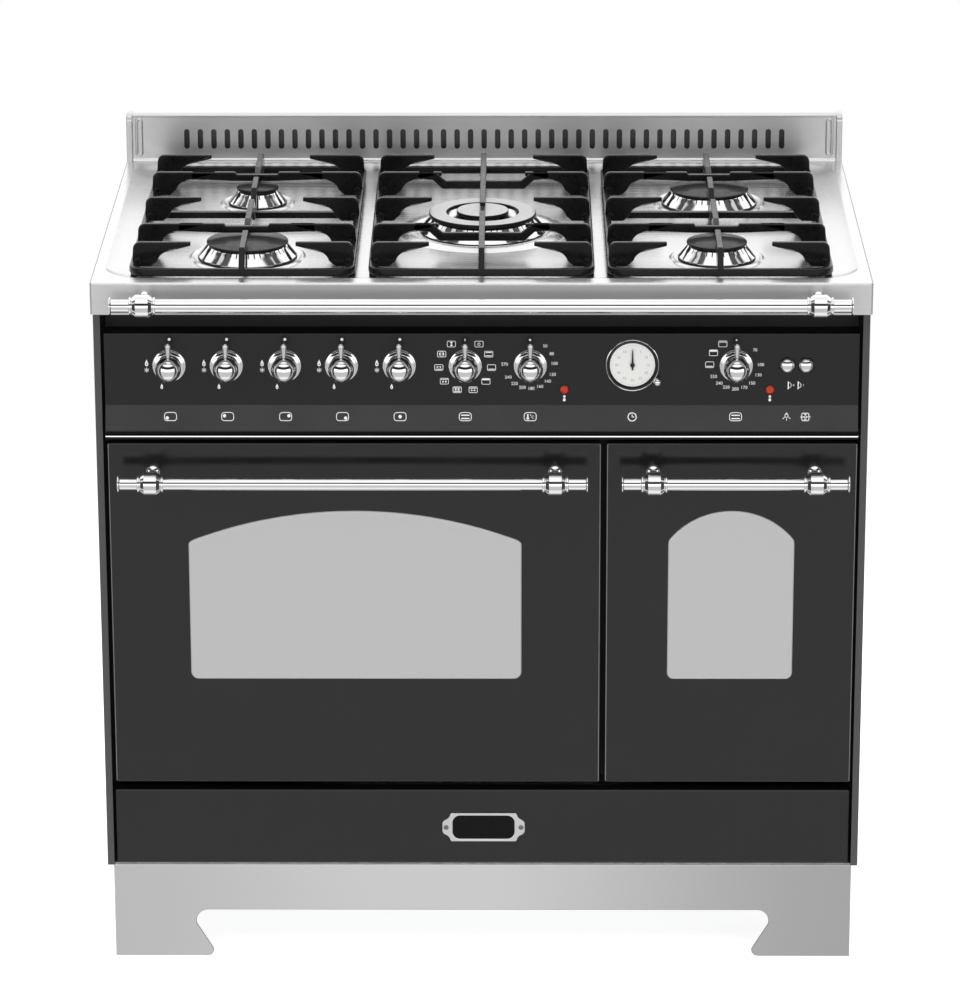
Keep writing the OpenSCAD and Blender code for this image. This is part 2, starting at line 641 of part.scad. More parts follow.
// tapering lever with a round tip
module lever(y) translate([0, y, 0]) rotate_extrude()
    polygon(concat([[0, ball_d / 2 - 4], [2.3, ball_d / 2 - 4], [2.3, ball_d / 2 + 0.6], [3.9, lever_r - 4.2]],
        arc(0, lever_r - 3.9, 3.9, 0, 90, 6)));
ball_y = face_y - 17;
// gas knob that slides on its spindle
module gas_knob(x) color([0.88, 0.88, 0.89]) difference() {
    translate([x, 0, knob_z]) union() {
        translate([0, ball_y, 0]) sphere(d = ball_d, $fn = 72);
        lever(ball_y);
    }
    difference() {
        ycyl(x, ball_y - 4.6, face_y + 2, knob_z, spindle_d + 2 * run_c);
        box([x - 6, ball_y - 6, knob_z + 3.05], [x + 6, face_y + 3, knob_z + 7]);
    }
    // flat seat at the back of the ball
    box([x - 20, face_y - 3, knob_z - 20], [x + 20, face_y + 6, knob_z + 20]);
}
// spindle with a flat, turning in its tap
module tap_spindle(x) color([0.7, 0.7, 0.7]) difference() {
    ycyl(x, ball_y, -219, knob_z, spindle_d);
    box([x - 6, ball_y - 1, knob_z + 3], [x + 6, face_y + 2, knob_z + 7]);
}
// oven knob in one piece with its spindle
module oven_knob(x) color([0.88, 0.88, 0.89]) union() {
    difference() {
        translate([x, 0, knob_z]) union() {
            translate([0, ball_y, 0]) sphere(d = ball_d, $fn = 72);
            lever(ball_y);
        }
        box([x - 20, face_y - 3, knob_z - 20], [x + 20, face_y + 6, knob_z + 20]);
    }
    ycyl(x, ball_y, -219, knob_z, spindle_d);
}
module front_left_knob() gas_knob(k_fl);
module rear_left_knob() gas_knob(k_rl);
module rear_right_knob() gas_knob(k_rr);
module front_right_knob() gas_knob(k_fr);
module centre_knob() gas_knob(k_ce);
module front_left_spindle() tap_spindle(k_fl);
module rear_left_spindle() tap_spindle(k_rl);
module rear_right_spindle() tap_spindle(k_rr);
module front_right_spindle() tap_spindle(k_fr);
module centre_spindle() tap_spindle(k_ce);
module oven_function_knob() oven_knob(k_fn);
module oven_heat_knob() oven_knob(k_ht);
module small_oven_knob() oven_knob(k_so);

module switch_body(x) difference() {
    union() {
        ycyl(x, -252.5, -235, knob_z, 26);
        box([x - 18, -240, knob_z - 20], [x + 18, -205, knob_z + 20]);
    }
    ycyl(x, -254, -246, knob_z, 19);
    ycyl(x, -247, -217, knob_z, spindle_d + 2 * run_c);
}
module control_switches() color([0.85, 0.83, 0.75]) {
    switch_body(k_fn);
    switch_body(k_ht);
    switch_body(k_so);
    // housing of the two push buttons
    difference() {
        box([338, -252.5, 733], [392, -212, 757]);
        ycyl(354, -254, -245, 745, 20.4);
        ycyl(375.8, -254, -245, 745, 20.4);
        ycyl(354, -246, -216, 745, 6 + 2 * run_c);
        ycyl(375.8, -246, -216, 745, 6 + 2 * run_c);
    }
}
module push_button(x) color([0.88, 0.88, 0.89]) union() {
    lathe_y(x, -249.5, 745) polygon(concat([[0, 0], [9.2, 0], [9.2, 9.5]],
        [for (i = [0:6]) [9.2 - 0.8 + 0.8 * cos(15 * i) - (i == 6 ? 0 : 0), 9.5 + 1.2 * sin(15 * i)]], [[0, 11.2]]));
    ycyl(x, -250, -220, 745, 6);
}
module lamp_button() push_button(354);
module spit_button() push_button(375.8);

module timer_body() color([0.8, 0.8, 0.8]) difference() {
    union() {
        lathe_y(timer_x, face_y, 745.4)
            polygon([[0, 0], [27.6, 0], [28.4, 2.2], [29.6, 3], [30.6, 2.6], [31.3, 1.4], [31.3, 0], [28.9, 0], [28.9, -8], [0, -8]]);
        box([145, -250, 716], [216, -212, 775]);
        ycyl(set_x, -252.5, -249, set_z, 12);
    }
    ycyl(timer_x, -256, -225, 745.4, 3 + 2 * run_c);
    ycyl(set_x, -256, -225, set_z, 4 + 2 * run_c);
}
module timer_hand() color([0.05, 0.05, 0.05]) union() {
    ycyl(timer_x, -256.2, -228, 745.4, 3);
    ycyl(timer_x, -256.4, -255, 745.4, 5.5);
    xz(-256, -255) translate([timer_x, 745.4]) polygon([[-1.3, -7], [1.3, -7], [0.9, 20], [0, 23.5], [-0.9, 20]]);
}
module timer_knob() color([0.88, 0.88, 0.89]) union() {
    ycyl(set_x, -264, -228, set_z, 4);
    ycyl(set_x, -256.4, -254.4, set_z, 4.5);
    translate([set_x, -263.6, set_z]) sphere(d = 9.5);
}

module indicator_lamps() color([0.75, 0.05, 0.04])
    for (x = [96, 334.4]) lathe_y(x, -252.5, 716)
        polygon(concat([[0, -18], [4, -18], [4, -4], [7, -4], [7, 0], [4.8, 0], [4.8, 2.6]],
            [for (i = [1:6]) [4.8 * cos(15 * i), 2.6 + 1.9 * sin(15 * i)]]));

// ---------------------------------------------------------------- pan supports
// side bracket as an XZ outline: foot at the base bar, leg, and finger towards the centre; u runs inwards
function finger(l, z0, zt) = concat([[0, z0], [2.5, zt - 14]], arc(11, zt - 8, 8, 175, 90, 5),
    [[l - 1, zt], [l, zt - 1], [l, zt - 4.5], [44, zt - 11]], arc(46, zt - 26, 15, 95, 165, 5), [[24, z0]]);

module support(x0, x1, centre, fy0, fy1) {
    w = x1 - x0;
    cx = (x0 + x1) / 2;
    z0 = well_z;
    zb = z0 + 6;
    zt = z0 + support_h;
    y0 = -243;
    y1 = 236;
    h = plate_t / 2;
    rows = [-199, -117, 3, 123, 207];
    union() {
        // base frame with rounded corners
        difference() {
            translate([0, 0, zb]) linear_extrude(9) polygon(rr(x0, y0, x1, y1, 22, 6));
            translate([0, 0, zb - 1]) linear_extrude(11) polygon(rr(x0 + 9, y0 + 9, x1 - 9, y1 - 9, 14, 6));
        }
        // middle bar
        if (!centre) box([x0 + 4, 14, zb], [x1 - 4, 22, zb + 8]);
        // feet that stand on the well floor
        for (x = [x0 + 5, x1 - 5], y = [y0 + 32, 0, y1 - 32]) translate([x, y, z0]) cylinder(h = zb - z0 + 3, d = 9);
        // brackets with fingers
        for (i = [0:4], s = [0, 1])
            translate([s == 0 ? x0 : x1, 0, 0]) mirror([s, 0, 0])
                xz(rows[i] - h, rows[i] + h) polygon(finger(i % 2 == 0 ? 70 : 80, zb, zt));
        // small round bosses at the bracket feet
        for (i = [0:4], x = [x0 + 9, x1 - 9]) ycyl(x, rows[i] - 7, rows[i] + 7, zb + 8, 8);
        if (centre) {
            // crossbars whose middle steps down by two bends
            for (y = [rows[1], rows[3]]) xz(y - h, y + h) polygon([[x0 + 50, zt], [cx - 60, zt], [cx - 46, zt - 11],
                [cx + 46, zt - 11], [cx + 60, zt], [x1 - 50, zt], [x1 - 50, zt - 8], [cx + 62, zt - 10],
                [cx + 50, zt - 21], [cx - 50, zt - 21], [cx - 62, zt - 10], [x0 + 50, zt - 8]]);
            yz(cx - h, cx + h) polygon([[236, zb], [236, zb + 9], [218, zt - 1], [216, zt], [-22, zt], [-24, zt - 4], [-14, zt - 7],
                [60, zt - 10], [112, zt - 11], [120, zt - 20], [127, zt - 20], [135, zt - 12], [196, zt - 12], [214, zb]]);
            yz(cx - h, cx + h) polygon([[-243, zb], [-243, zb + 9], [-226, zt - 1], [-224, zt], [-62, zt], [-60, zt - 4],
                [-68, zt - 7], [-106, zt - 10], [-114, zt - 20], [-121, zt - 20], [-129, zt - 12], [-206, zt - 12], [-224, zb]]);
        } else {
            // straight crossbars, a little lower in the middle
            for (y = [rows[1], rows[3]]) xz(y - h, y + h) polygon([[x0 + 50, zt], [cx - 27, zt], [cx - 25, zt - 3],
                [cx + 25, zt - 3], [cx + 27, zt], [x1 - 50, zt], [x1 - 50, zt - 9], [cx + 27, zt - 11],
                [cx - 27, zt - 11], [x0 + 50, zt - 9]]);
            // fore and aft fingers over the burners
            yz(cx - h, cx + h) polygon([[236, zb], [236, zb + 9], [218, zt - 1], [216, zt], [148, zt], [130, zt - 3], [120, zt - 6],
                [120, zt - 11], [196, zt - 13], [214, zb]]);
            yz(cx - h, cx + h) polygon([[14, zb], [18, zb + 9], [45, zt - 1], [47, zt], [fy1 - 2, zt], [fy1, zt - 4], [60, zt - 12], [40, zb + 12], [26, zb]]);
            yz(cx - h, cx + h) polygon([[22, zb], [18, zb + 9], [-4, zt - 1], [-6, zt], [-94, zt], [-108, zt - 3], [-114, zt - 5],
                [-114, zt - 11], [-40, zt - 12], [-8, zb + 12], [8, zb]]);
            yz(cx - h, cx + h) polygon([[-243, zb], [-243, zb + 9], [-225, zt - 1], [-223, zt], [fy0 - 2, zt], [fy0, zt - 4], [-206, zt - 12], [-222, zb]]);
        }
    }
}
module left_pan_support() color([0.05, 0.05, 0.05]) support(-408, -146, false, -145, 102);
module centre_pan_support() color([0.05, 0.05, 0.05]) support(-131, 131, true, 0, 0);
module right_pan_support() color([0.05, 0.05, 0.05]) support(145, 407, false, -142, 102);

// ---------------------------------------------------------------- assembly
plinth();
adjustable_feet();
base_pan();
side_panels();
rear_panel();
front_frame();
trim_strip();
control_panel();
worktop();
splashback();
burner_bodies();
burner_crowns();
burner_caps();
gas_manifold();
left_oven_cavity();
right_oven_cavity();
door_seals();
oven_racks();
heating_elements();
fan_cover();
fan_rotor();
fan_motor();
oven_lamps();
knob_bezels();
front_left_knob();
rear_left_knob();
rear_right_knob();
front_right_knob();
centre_knob();
front_left_spindle();
rear_left_spindle();
rear_right_spindle();
front_right_spindle();
centre_spindle();
oven_function_knob();
oven_heat_knob();
small_oven_knob();
control_switches();
timer_body();
timer_hand();
timer_knob();
indicator_lamps();
lamp_button();
spit_button();
towel_rail();
left_door_panel();
left_door_glass();
left_door_inner();
left_door_handle();
right_door_panel();
right_door_glass();
right_door_inner();
right_door_handle();
drawer_front();
drawer_box();
drawer_runners();
nameplate();
left_pan_support();
centre_pan_support();
right_pan_support();
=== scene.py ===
"""Range cooker: detailed meshes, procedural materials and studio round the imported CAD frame."""
import bpy, bmesh, math
import numpy as np
from mathutils import Vector, Matrix
from mathutils.geometry import delaunay_2d_cdt


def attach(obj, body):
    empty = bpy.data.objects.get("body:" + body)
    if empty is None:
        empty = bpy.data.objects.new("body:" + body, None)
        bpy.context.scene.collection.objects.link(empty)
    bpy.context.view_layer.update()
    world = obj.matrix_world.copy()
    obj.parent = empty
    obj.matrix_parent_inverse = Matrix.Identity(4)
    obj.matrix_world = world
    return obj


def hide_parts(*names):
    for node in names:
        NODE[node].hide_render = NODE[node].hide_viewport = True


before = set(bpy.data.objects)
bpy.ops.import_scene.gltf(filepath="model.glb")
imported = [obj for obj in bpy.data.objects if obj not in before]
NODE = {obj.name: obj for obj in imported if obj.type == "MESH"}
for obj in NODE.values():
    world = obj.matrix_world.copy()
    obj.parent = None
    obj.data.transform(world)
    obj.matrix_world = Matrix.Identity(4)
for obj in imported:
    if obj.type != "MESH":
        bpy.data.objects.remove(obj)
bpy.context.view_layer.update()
MM = 0.001
rad = math.radians

# ------------------------------------------------------------------ plane geometry (millimetres)


def arc(cx, cy, r, a0, a1, n):
    return [(cx + r * math.cos(rad(a0 + (a1 - a0) * i / n)), cy + r * math.sin(rad(a0 + (a1 - a0) * i / n))) for i in range(n + 1)]


def rr(x0, y0, x1, y1, r, n=6):
    return arc(x0 + r, y0 + r, r, 180, 270, n) + arc(x1 - r, y0 + r, r, 270, 360, n) + arc(x1 - r, y1 - r, r, 0, 90, n) + arc(x0 + r, y1 - r, r, 90, 180, n)


def circle(cx, cy, r, n):
    return [(cx + r * math.cos(2 * math.pi * i / n), cy + r * math.sin(2 * math.pi * i / n)) for i in range(n)]


def fillet(pts, r, n=4, closed=True):
    """Rounds each corner of a polyline."""
    out, m = [], len(pts)
    for i, p in enumerate(pts):
        if not closed and i in (0, m - 1):
            out.append(tuple(p))
            continue
        p, a, b = Vector(p), Vector(pts[i - 1]), Vector(pts[(i + 1) % m])
        u, v = a - p, b - p
        lu, lv = u.length, v.length
        if lu < 1e-6 or lv < 1e-6:
            out.append(tuple(p))
            continue
        u, v = u / lu, v / lv
        phi = math.acos(max(-1, min(1, u.dot(v))))
        if phi > rad(172) or phi < rad(2):
            out.append(tuple(p))
            continue
        d = min(r / math.tan(phi / 2), 0.46 * lu, 0.46 * lv)
        q = d * math.tan(phi / 2)
        c = p + (u + v).normalized() * (q / math.sin(phi / 2))
        s, e = p + u * d - c, p + v * d - c
        w = math.pi - phi
        for k in range(n + 1):
            t = k / n
            out.append(tuple(c + s * (math.sin((1 - t) * w) / math.sin(w)) + e * (math.sin(t * w) / math.sin(w))))
    return out


def area(pts):
    return sum(pts[i - 1][0] * pts[i][1] - pts[i][0] * pts[i - 1][1] for i in range(len(pts))) / 2


def dedupe(pts):
    out = []
    for p in pts:
        if not out or math.dist(p, out[-1]) > 1e-4:
            out.append(p)
    if math.dist(out[0], out[-1]) < 1e-4:
        out.pop()
    return out


def offset(pts, d):
    """Moves a closed polyline to its left by d."""
    out, m = [], len(pts)
    for i in range(m):
        a, p, b = pts[i - 1], pts[i], pts[(i + 1) % m]
        n1 = np.array([-(p[1] - a[1]), p[0] - a[0]]) / max(1e-9, math.dist(a, p))
        n2 = np.array([-(b[1] - p[1]), b[0] - p[0]]) / max(1e-9, math.dist(b, p))
        k = n1 + n2
        q = max(0.35, 1 + n1.dot(n2))
        out.append((p[0] + d * k[0] / q, p[1] + d * k[1] / q))
    return out


def inside(pt, poly):
    x, y, hit = pt[0], pt[1], False
    for i in range(len(poly)):
        (x0, y0), (x1, y1) = poly[i - 1], poly[i]
        if (y0 > y) != (y1 > y) and x < (x1 - x0) * (y - y0) / (y1 - y0) + x0:
            hit = not hit
    return hit


def fill(outline, holes=()):
    """Triangles over an outline with holes; indices run over the outline, then each hole."""
    pts, edges = [], []
    for loop in [outline, *holes]:
        s, m = len(pts), len(loop)
        pts += [Vector(p) for p in loop]
        edges += [(s + i, s + (i + 1) % m) for i in range(m)]
    v, _, f, ov, _, _ = delaunay_2d_cdt(pts, edges, [], 1, 1e-6, True)
    back = [o[0] if o else None for o in ov]
    tris = []
    boxes = [(min(p[0] for p in h), max(p[0] for p in h), min(p[1] for p in h), max(p[1] for p in h), h) for h in holes]
    for t in f:
        if any(back[i] is None for i in t):
            continue
        c = sum((v[i] for i in t), Vector((0, 0))) / len(t)
        if any(a < c[0] < b and e < c[1] < g and inside(c, h) for a, b, e, g, h in boxes):
            continue
        if not inside(c, outline):
            continue
        tris.append([back[i] for i in t])
    return tris


# ------------------------------------------------------------------ solids as (verts, faces)


class Solid:
    def __init__(self):
        self.v, self.f, self.m = [], [], []

    def add(self, verts, faces, mat=0):
        s = len(self.v)
        self.v += [tuple(p) for p in verts]
        self.f += [tuple(s + i for i in face) for face in faces]
        self.m += mat if isinstance(mat, list) else [mat] * len(faces)
        return self

    def join(self, other, mat=None, at=(0, 0, 0)):
        s = len(self.v)
        self.v += [(p[0] + at[0], p[1] + at[1], p[2] + at[2]) for p in other.v]
        self.f += [tuple(s + i for i in face) for face in other.f]
        self.m += [mat] * len(other.f) if mat is not None else other.m
        return self


PLANES = {"xz": lambda u, v, w: (u, w, v), "yz": lambda u, v, w: (w, u, v), "xy": lambda u, v, w: (u, v, w)}


def strip(a, b, m):
    return [(a + i, a + (i + 1) % m, b + (i + 1) % m, b + i) for i in range(m)]


def plate(outline, holes=(), h0=0, h1=1, r=0.0, n=3, plane="xz", mat=0, rh=None, place=None):
    """A flat plate between h0 and h1 with rounded edges."""
    P = place or PLANES[plane]
    outline = dedupe(outline)
    if area(outline) < 0:
        outline = outline[::-1]
    hs = []
    for h in holes:
        h = dedupe(h)
        hs.append(h[::-1] if area(h) > 0 else h)
    rh = r if rh is None else rh
    s = Solid()
    verts, faces = [], []
    rings = []
    for k, loop in enumerate([outline, *hs]):
        q = r if k == 0 else rh
        levels = []
        steps = n if q > 0 else 0
        for i in range(steps + 1):
            a = rad(90 * i / steps) if steps else 0
            levels.append((q * (1 - math.sin(a)), h0 + q * (1 - math.cos(a))))
        if steps:
            levels += [(d, h1 - (w - h0)) for d, w in levels[::-1]]
        else:
            levels += [(0, h1)]
        first = None
        for d, w in levels:
            lp = offset(loop, d) if d > 1e-9 else loop
            start = len(verts)
            verts += [P(u, v, w) for u, v in lp]
            if first is None:
                first = (start, lp)
            else:
                faces += strip(start - len(loop), start, len(loop))
        rings.append((first[0], len(verts) - len(loop), first[1]))
    tris = fill(rings[0][2], [x[2] for x in rings[1:]])
    front, back = [], []
    for st, en, lp in rings:
        front += list(range(st, st + len(lp)))
        back += list(range(en, en + len(lp)))
    faces += [tuple(front[i] for i in t) for t in tris] + [tuple(back[i] for i in t[::-1]) for t in tris]
    return s.add(verts, faces, mat)


def pan(outline, holes, y, depth, t=1.5, r=2.0, n=4, rh=0.5, front=-1, place=None, mat=0, inner=None):
    """A folded sheet: a front face with rounded edges and sides that go back by depth."""
    P = place or PLANES["xz"]
    outline = dedupe(outline)
    if area(outline) < 0:
        outline = outline[::-1]
    hs = [h[::-1] if area(h) > 0 else h for h in (dedupe(x) for x in holes)]
    verts, faces = [], []
    m = len(outline)
    g = -front
    levels = [(r * (1 - math.sin(rad(90 * i / n))), y + g * r * (1 - math.cos(rad(90 * i / n)))) for i in range(n + 1)]
    levels += [(0, y + g * (depth - 0.3)), (0.3, y + g * depth), (t - 0.3, y + g * depth), (t, y + g * (depth - 0.3)), (t, y + g * (t + 0.6)), (t + 0.6, y + g * t)]
    for d, w in levels:
        lp = offset(outline, d) if d > 1e-9 else outline
        s = len(verts)
        verts += [P(u, v, w) for u, v in lp]
        if s:
            faces += strip(s - m, s, m)
    f_out, b_out = list(range(m)), list(range(len(verts) - m, len(verts)))
    fl, bl = offset(outline, r), offset(outline, t + 0.6)
    fh, bh = [], []
    for h in hs:
        k = len(h)
        first = len(verts)
        for d, w in [(rh, y), (rh * 0.3, y + g * rh * 0.3), (0, y + g * rh), (0, y + g * t)]:
            s = len(verts)
            verts += [P(u, v, w) for u, v in (offset(h, d) if d > 1e-9 else h)]
            if s > first:
                faces += strip(s - k, s, k)
        fh.append((list(range(first, first + k)), offset(h, rh)))
        bh.append((list(range(len(verts) - k, len(verts))), h))
    ids = f_out + [i for x in fh for i in x[0]]
    faces += [tuple(ids[i] for i in tr) for tr in fill(fl, [x[1] for x in fh])]
    ids = b_out + [i for x in bh for i in x[0]]
    faces += [tuple(ids[i] for i in tr[::-1]) for tr in fill(bl, [x[1] for x in bh])]
    return Solid().add(verts, faces, mat)


def lathe(profile, seg=64, at=(0, 0, 0), axis="z", mat=0, closed=False, sector=None):
    """Turns a profile of (radius, height) about an axis; ends on the axis become poles."""
    frames = {"z": lambda a, b, h: (a, b, h), "-y": lambda a, b, h: (a, -h, b), "x": lambda a, b, h: (h, a, b), "-x": lambda a, b, h: (-h, a, b), "y": lambda a, b, h: (a, h, b)}
    F = frames[axis]
    verts, faces, rows = [], [], []
    for r, h in profile:
        if r < 1e-6:
            rows.append([len(verts)])
            x, y, z = F(0, 0, h)
            verts.append((x + at[0], y + at[1], z + at[2]))
        else:
            rows.append(list(range(len(verts), len(verts) + seg)))
            for i in range(seg):
                a = 2 * math.pi * i / seg
                x, y, z = F(r * math.cos(a), r * math.sin(a), h)
                verts.append((x + at[0], y + at[1], z + at[2]))
    pairs = list(zip(rows, rows[1:])) + ([(rows[-1], rows[0])] if closed else [])
    for a, b in pairs:
        for i in range(seg):
            j = (i + 1) % seg
            if len(a) == 1 and len(b) == 1:
                continue
            if len(a) == 1:
                faces.append((a[0], b[j], b[i]))
            elif len(b) == 1:
                faces.append((a[i], a[j], b[0]))
            else:
                faces.append((a[i], a[j], b[j], b[i]))
    return Solid().add(verts, faces, mat)


def tube(points, r, seg=16, mat=0, capped=True):
    """A round bar along points."""
    pts = [Vector(p) for p in points]
    verts, faces = [], []
    up = None
    for i, p in enumerate(pts):
        d = ((pts[i + 1] - p) if i == 0 else (p - pts[i - 1]) if i == len(pts) - 1 else (pts[i + 1] - pts[i - 1])).normalized()
        if up is None:
            up = d.orthogonal().normalized()
        up = (up - d * up.dot(d)).normalized()
        side = d.cross(up)
        rr_ = r[i] if isinstance(r, (list, tuple)) else r
        for k in range(seg):
            a = 2 * math.pi * k / seg
            verts.append(tuple(p + (up * math.cos(a) + side * math.sin(a)) * rr_))
        if i:
            faces += strip(len(verts) - 2 * seg, len(verts) - seg, seg)
    if capped:
        faces += [tuple(range(seg)), tuple(range(len(verts) - seg, len(verts)))]
    return Solid().add(verts, faces, mat)


def build(name, solid, mats, body, replaces=(), angle=38, weighted=True, merge=True, smooth=True):
    """A mesh object in place, riding on its body."""
    me = bpy.data.meshes.new(name)
    me.from_pydata([(x * MM, y * MM, z * MM) for x, y, z in solid.v], [], solid.f)
    for m in mats:
        me.materials.append(m)
    me.polygons.foreach_set("material_index", solid.m)
    bm = bmesh.new()
    bm.from_mesh(me)
    if merge:
        bmesh.ops.remove_doubles(bm, verts=bm.verts, dist=2e-6)
    loose = [v for v in bm.verts if not v.link_faces]
    if loose:
        bmesh.ops.delete(bm, geom=loose, context="VERTS")
    bmesh.ops.recalc_face_normals(bm, faces=bm.faces)
    bm.to_mesh(me)
    bm.free()
    me.validate()
    if smooth:
        me.shade_smooth()
        me.set_sharp_from_angle(angle=rad(angle))
    o = bpy.data.objects.new(name, me)
    bpy.context.scene.collection.objects.link(o)
    if weighted and smooth:
        w = o.modifiers.new("normals", "WEIGHTED_NORMAL")
        w.keep_sharp = True
        w.weight = 80
    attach(o, body)
    if replaces:
        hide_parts(*replaces)
    return o


# ------------------------------------------------------------------ materials


class Mat:
    """A small helper to write node materials."""

    def __init__(self, name):
        self.m = bpy.data.materials.new(name)
        self.m.use_nodes = True
        self.t = self.m.node_tree
        self.t.nodes.clear()
        self.out = self.t.nodes.new("ShaderNodeOutputMaterial")
        self.b = self.t.nodes.new("ShaderNodeBsdfPrincipled")
        self.t.links.new(self.b.outputs[0], self.out.inputs[0])
        self.co = self.t.nodes.new("ShaderNodeTexCoord").outputs["Object"]

    def set(self, **kw):
        for k, v in kw.items():
            s = self.b.inputs[k.replace("_", " ")]
            s.default_value = (*v, 1) if isinstance(v, tuple) and len(v) == 3 and s.type == "RGBA" else v
        return self

    def node(self, kind, **kw):
        n = self.t.nodes.new("ShaderNode" + kind)
        for k, v in kw.items():
            setattr(n, k, v)
        return n

    def link(self, a, b):
        self.t.links.new(a, b)

    def scaled(self, sx, sy, sz, loc=(0, 0, 0)):
        n = self.node("Mapping")
        n.inputs["Scale"].default_value = (sx, sy, sz)
        n.inputs["Location"].default_value = loc
        self.link(self.co, n.inputs["Vector"])
        return n.outputs[0]

    def noise(self, vec=None, scale=1.0, detail=3.0, rough=0.55, distort=0.0):
        n = self.node("TexNoise")
        n.inputs["Scale"].default_value = scale
        n.inputs["Detail"].default_value = detail
        n.inputs["Roughness"].default_value = rough
        n.inputs["Distortion"].default_value = distort
        self.link(vec if vec is not None else self.co, n.inputs["Vector"])
        return n.outputs[0]

    def ramp(self, fac, stops, interp="LINEAR"):
        n = self.node("ValToRGB")
        e = n.color_ramp
        e.interpolation = interp
        while len(e.elements) > 1:
            e.elements.remove(e.elements[-1])
        e.elements[0].position = stops[0][0]
        c = stops[0][1]
        e.elements[0].color = (c, c, c, 1) if not isinstance(c, tuple) else (*c, 1)
        for p, c in stops[1:]:
            x = e.elements.new(p)
            x.color = (c, c, c, 1) if not isinstance(c, tuple) else (*c, 1)
        self.link(fac, n.inputs[0])
        return n.outputs[0]

    def range(self, fac, a, b, lo=0.0, hi=1.0):
        n = self.node("MapRange")
        n.inputs["From Min"].default_value = lo
        n.inputs["From Max"].default_value = hi
        n.inputs["To Min"].default_value = a
        n.inputs["To Max"].default_value = b
        self.link(fac, n.inputs["Value"])
        return n.outputs["Result"]

    def math(self, op, a, b=None):
        n = self.node("Math", operation=op)
        for i, x in enumerate([a, b]):
            if x is None:
                continue
            if isinstance(x, (int, float)):
                n.inputs[i].default_value = x
            else:
                self.link(x, n.inputs[i])
        return n.outputs[0]

    def paint_light_along_x(self, sock, stops):
        """Multiplies a colour by painted light and shade along X; stops are (metres, factor)."""
        sep = self.node("SeparateXYZ")
        self.link(self.co, sep.inputs[0])
        t = self.range(sep.outputs[0], 0.0, 1.0, -0.45, 0.45)
        tone = self.ramp(t, [((x + 0.45) / 0.9, f) for x, f in stops], "EASE")
        n = self.node("Mix", data_type="RGBA", blend_type="MULTIPLY")
        n.inputs[0].default_value = 1.0
        self.link(sock, n.inputs[6])
        self.link(tone, n.inputs[7])
        return n.outputs[2]

    def color(self, sock):
        self.link(sock, self.b.inputs["Base Color"])
        return self

    def rough(self, sock):
        self.link(sock, self.b.inputs["Roughness"])
        return self

    def bump(self, sock, strength, dist=0.0005):
        n = self.node("Bump")
        n.inputs["Strength"].default_value = strength
        n.inputs["Distance"].default_value = dist
        self.link(sock, n.inputs["Height"])
        last = getattr(self, "_bump", None)
        if last is not None:
            self.link(last, n.inputs["Normal"])
        self._bump = n.outputs[0]
        self.link(self._bump, self.b.inputs["Normal"])
        return self


def brushed(name, base=0.60, tone=0.05, r0=0.2, r1=0.3, along="x", wave=0.12, tint=(1.0, 1.0, 1.0), shade=None):
    """Brushed stainless steel: fine grain along one axis, soft waviness, a little tone variation; shade paints light
    and shade along X.
    """
    k = Mat(name)
    s = {"x": (3, 900, 900), "y": (900, 3, 900), "z": (900, 900, 3)}[along]
    grain = k.noise(k.scaled(*s), 1.0, 4.0, 0.7)
    long = k.noise(k.scaled(*[q / 6 for q in s]), 1.0, 2.0, 0.5)
    cloud = k.noise(None, 7.0, 2.0)
    g = k.math("ADD", k.math("MULTIPLY", grain, 0.6), k.math("MULTIPLY", long, 0.4))
    lo, hi = base - tone, base + tone
    tone = k.ramp(g, [(0.3, tuple(lo * t for t in tint)), (0.7, tuple(hi * t for t in tint))])
    k.color(k.paint_light_along_x(tone, shade) if shade else tone)
    k.rough(k.range(k.math("ADD", k.math("MULTIPLY", grain, 0.7), k.math("MULTIPLY", cloud, 0.3)), r0, r1, 0.3, 0.7))
    k.set(Metallic=1.0)
    k.bump(cloud, wave, 0.0012)
    k.bump(g, 0.03, 0.00012)
    return k.m


def chrome(name, base=0.82, r=0.05):
    """Polished chrome with faint smudges."""
    k = Mat(name)
    k.set(Metallic=1.0)
    n = k.noise(None, 60.0, 3.0)
    k.color(k.ramp(n, [(0.3, (base * 0.97,) * 3), (0.7, (base, base, base * 1.005))]))
    k.rough(k.range(k.noise(None, 25.0, 4.0), r, r + 0.025, 0.35, 0.75))
    return k.m


def enamel(name, col, r=0.32, peel=0.05, spec=0.5, fleck=0.12, coat=0.0):
    """Enamel or paint: slight orange peel, tiny flecks and cloudy roughness."""
    k = Mat(name)
    a = tuple(c * (1 - fleck) for c in col)
    b = tuple(c * (1 + fleck) for c in col)
    k.color(k.ramp(k.noise(None, 900.0, 2.0), [(0.35, a), (0.65, b)]))
    k.rough(k.range(k.noise(None, 9.0, 3.0), r - 0.03, r + 0.05, 0.3, 0.7))
    k.set(**{"Specular_IOR_Level": spec, "Coat_Weight": coat})
    if coat:
        k.set(Coat_Roughness=0.08)
    k.bump(k.noise(None, 420.0, 2.0), peel, 0.00025)
    k.bump(k.noise(None, 12.0, 2.0), peel * 1.2, 0.001)
    return k.m


def cast(name, col=0.012, r=0.3):
    """Black enamel over cast iron: a grainy skin under a satin gloss."""
    k = Mat(name)
    k.color(k.ramp(k.noise(None, 700.0, 3.0), [(0.3, (col * 0.7,) * 3), (0.7, (col * 1.3, col * 1.3, col * 1.35))]))
    k.rough(k.range(k.noise(None, 120.0, 3.0), r - 0.06, r + 0.1, 0.3, 0.7))
    k.set(Specular_IOR_Level=0.2, Coat_Weight=0.3, Coat_IOR=1.3, Coat_Roughness=0.1)
    k.bump(k.noise(None, 800.0, 3.0), 0.08, 0.0003)
    k.bump(k.noise(None, 90.0, 2.0), 0.05, 0.0012)
    return k.m


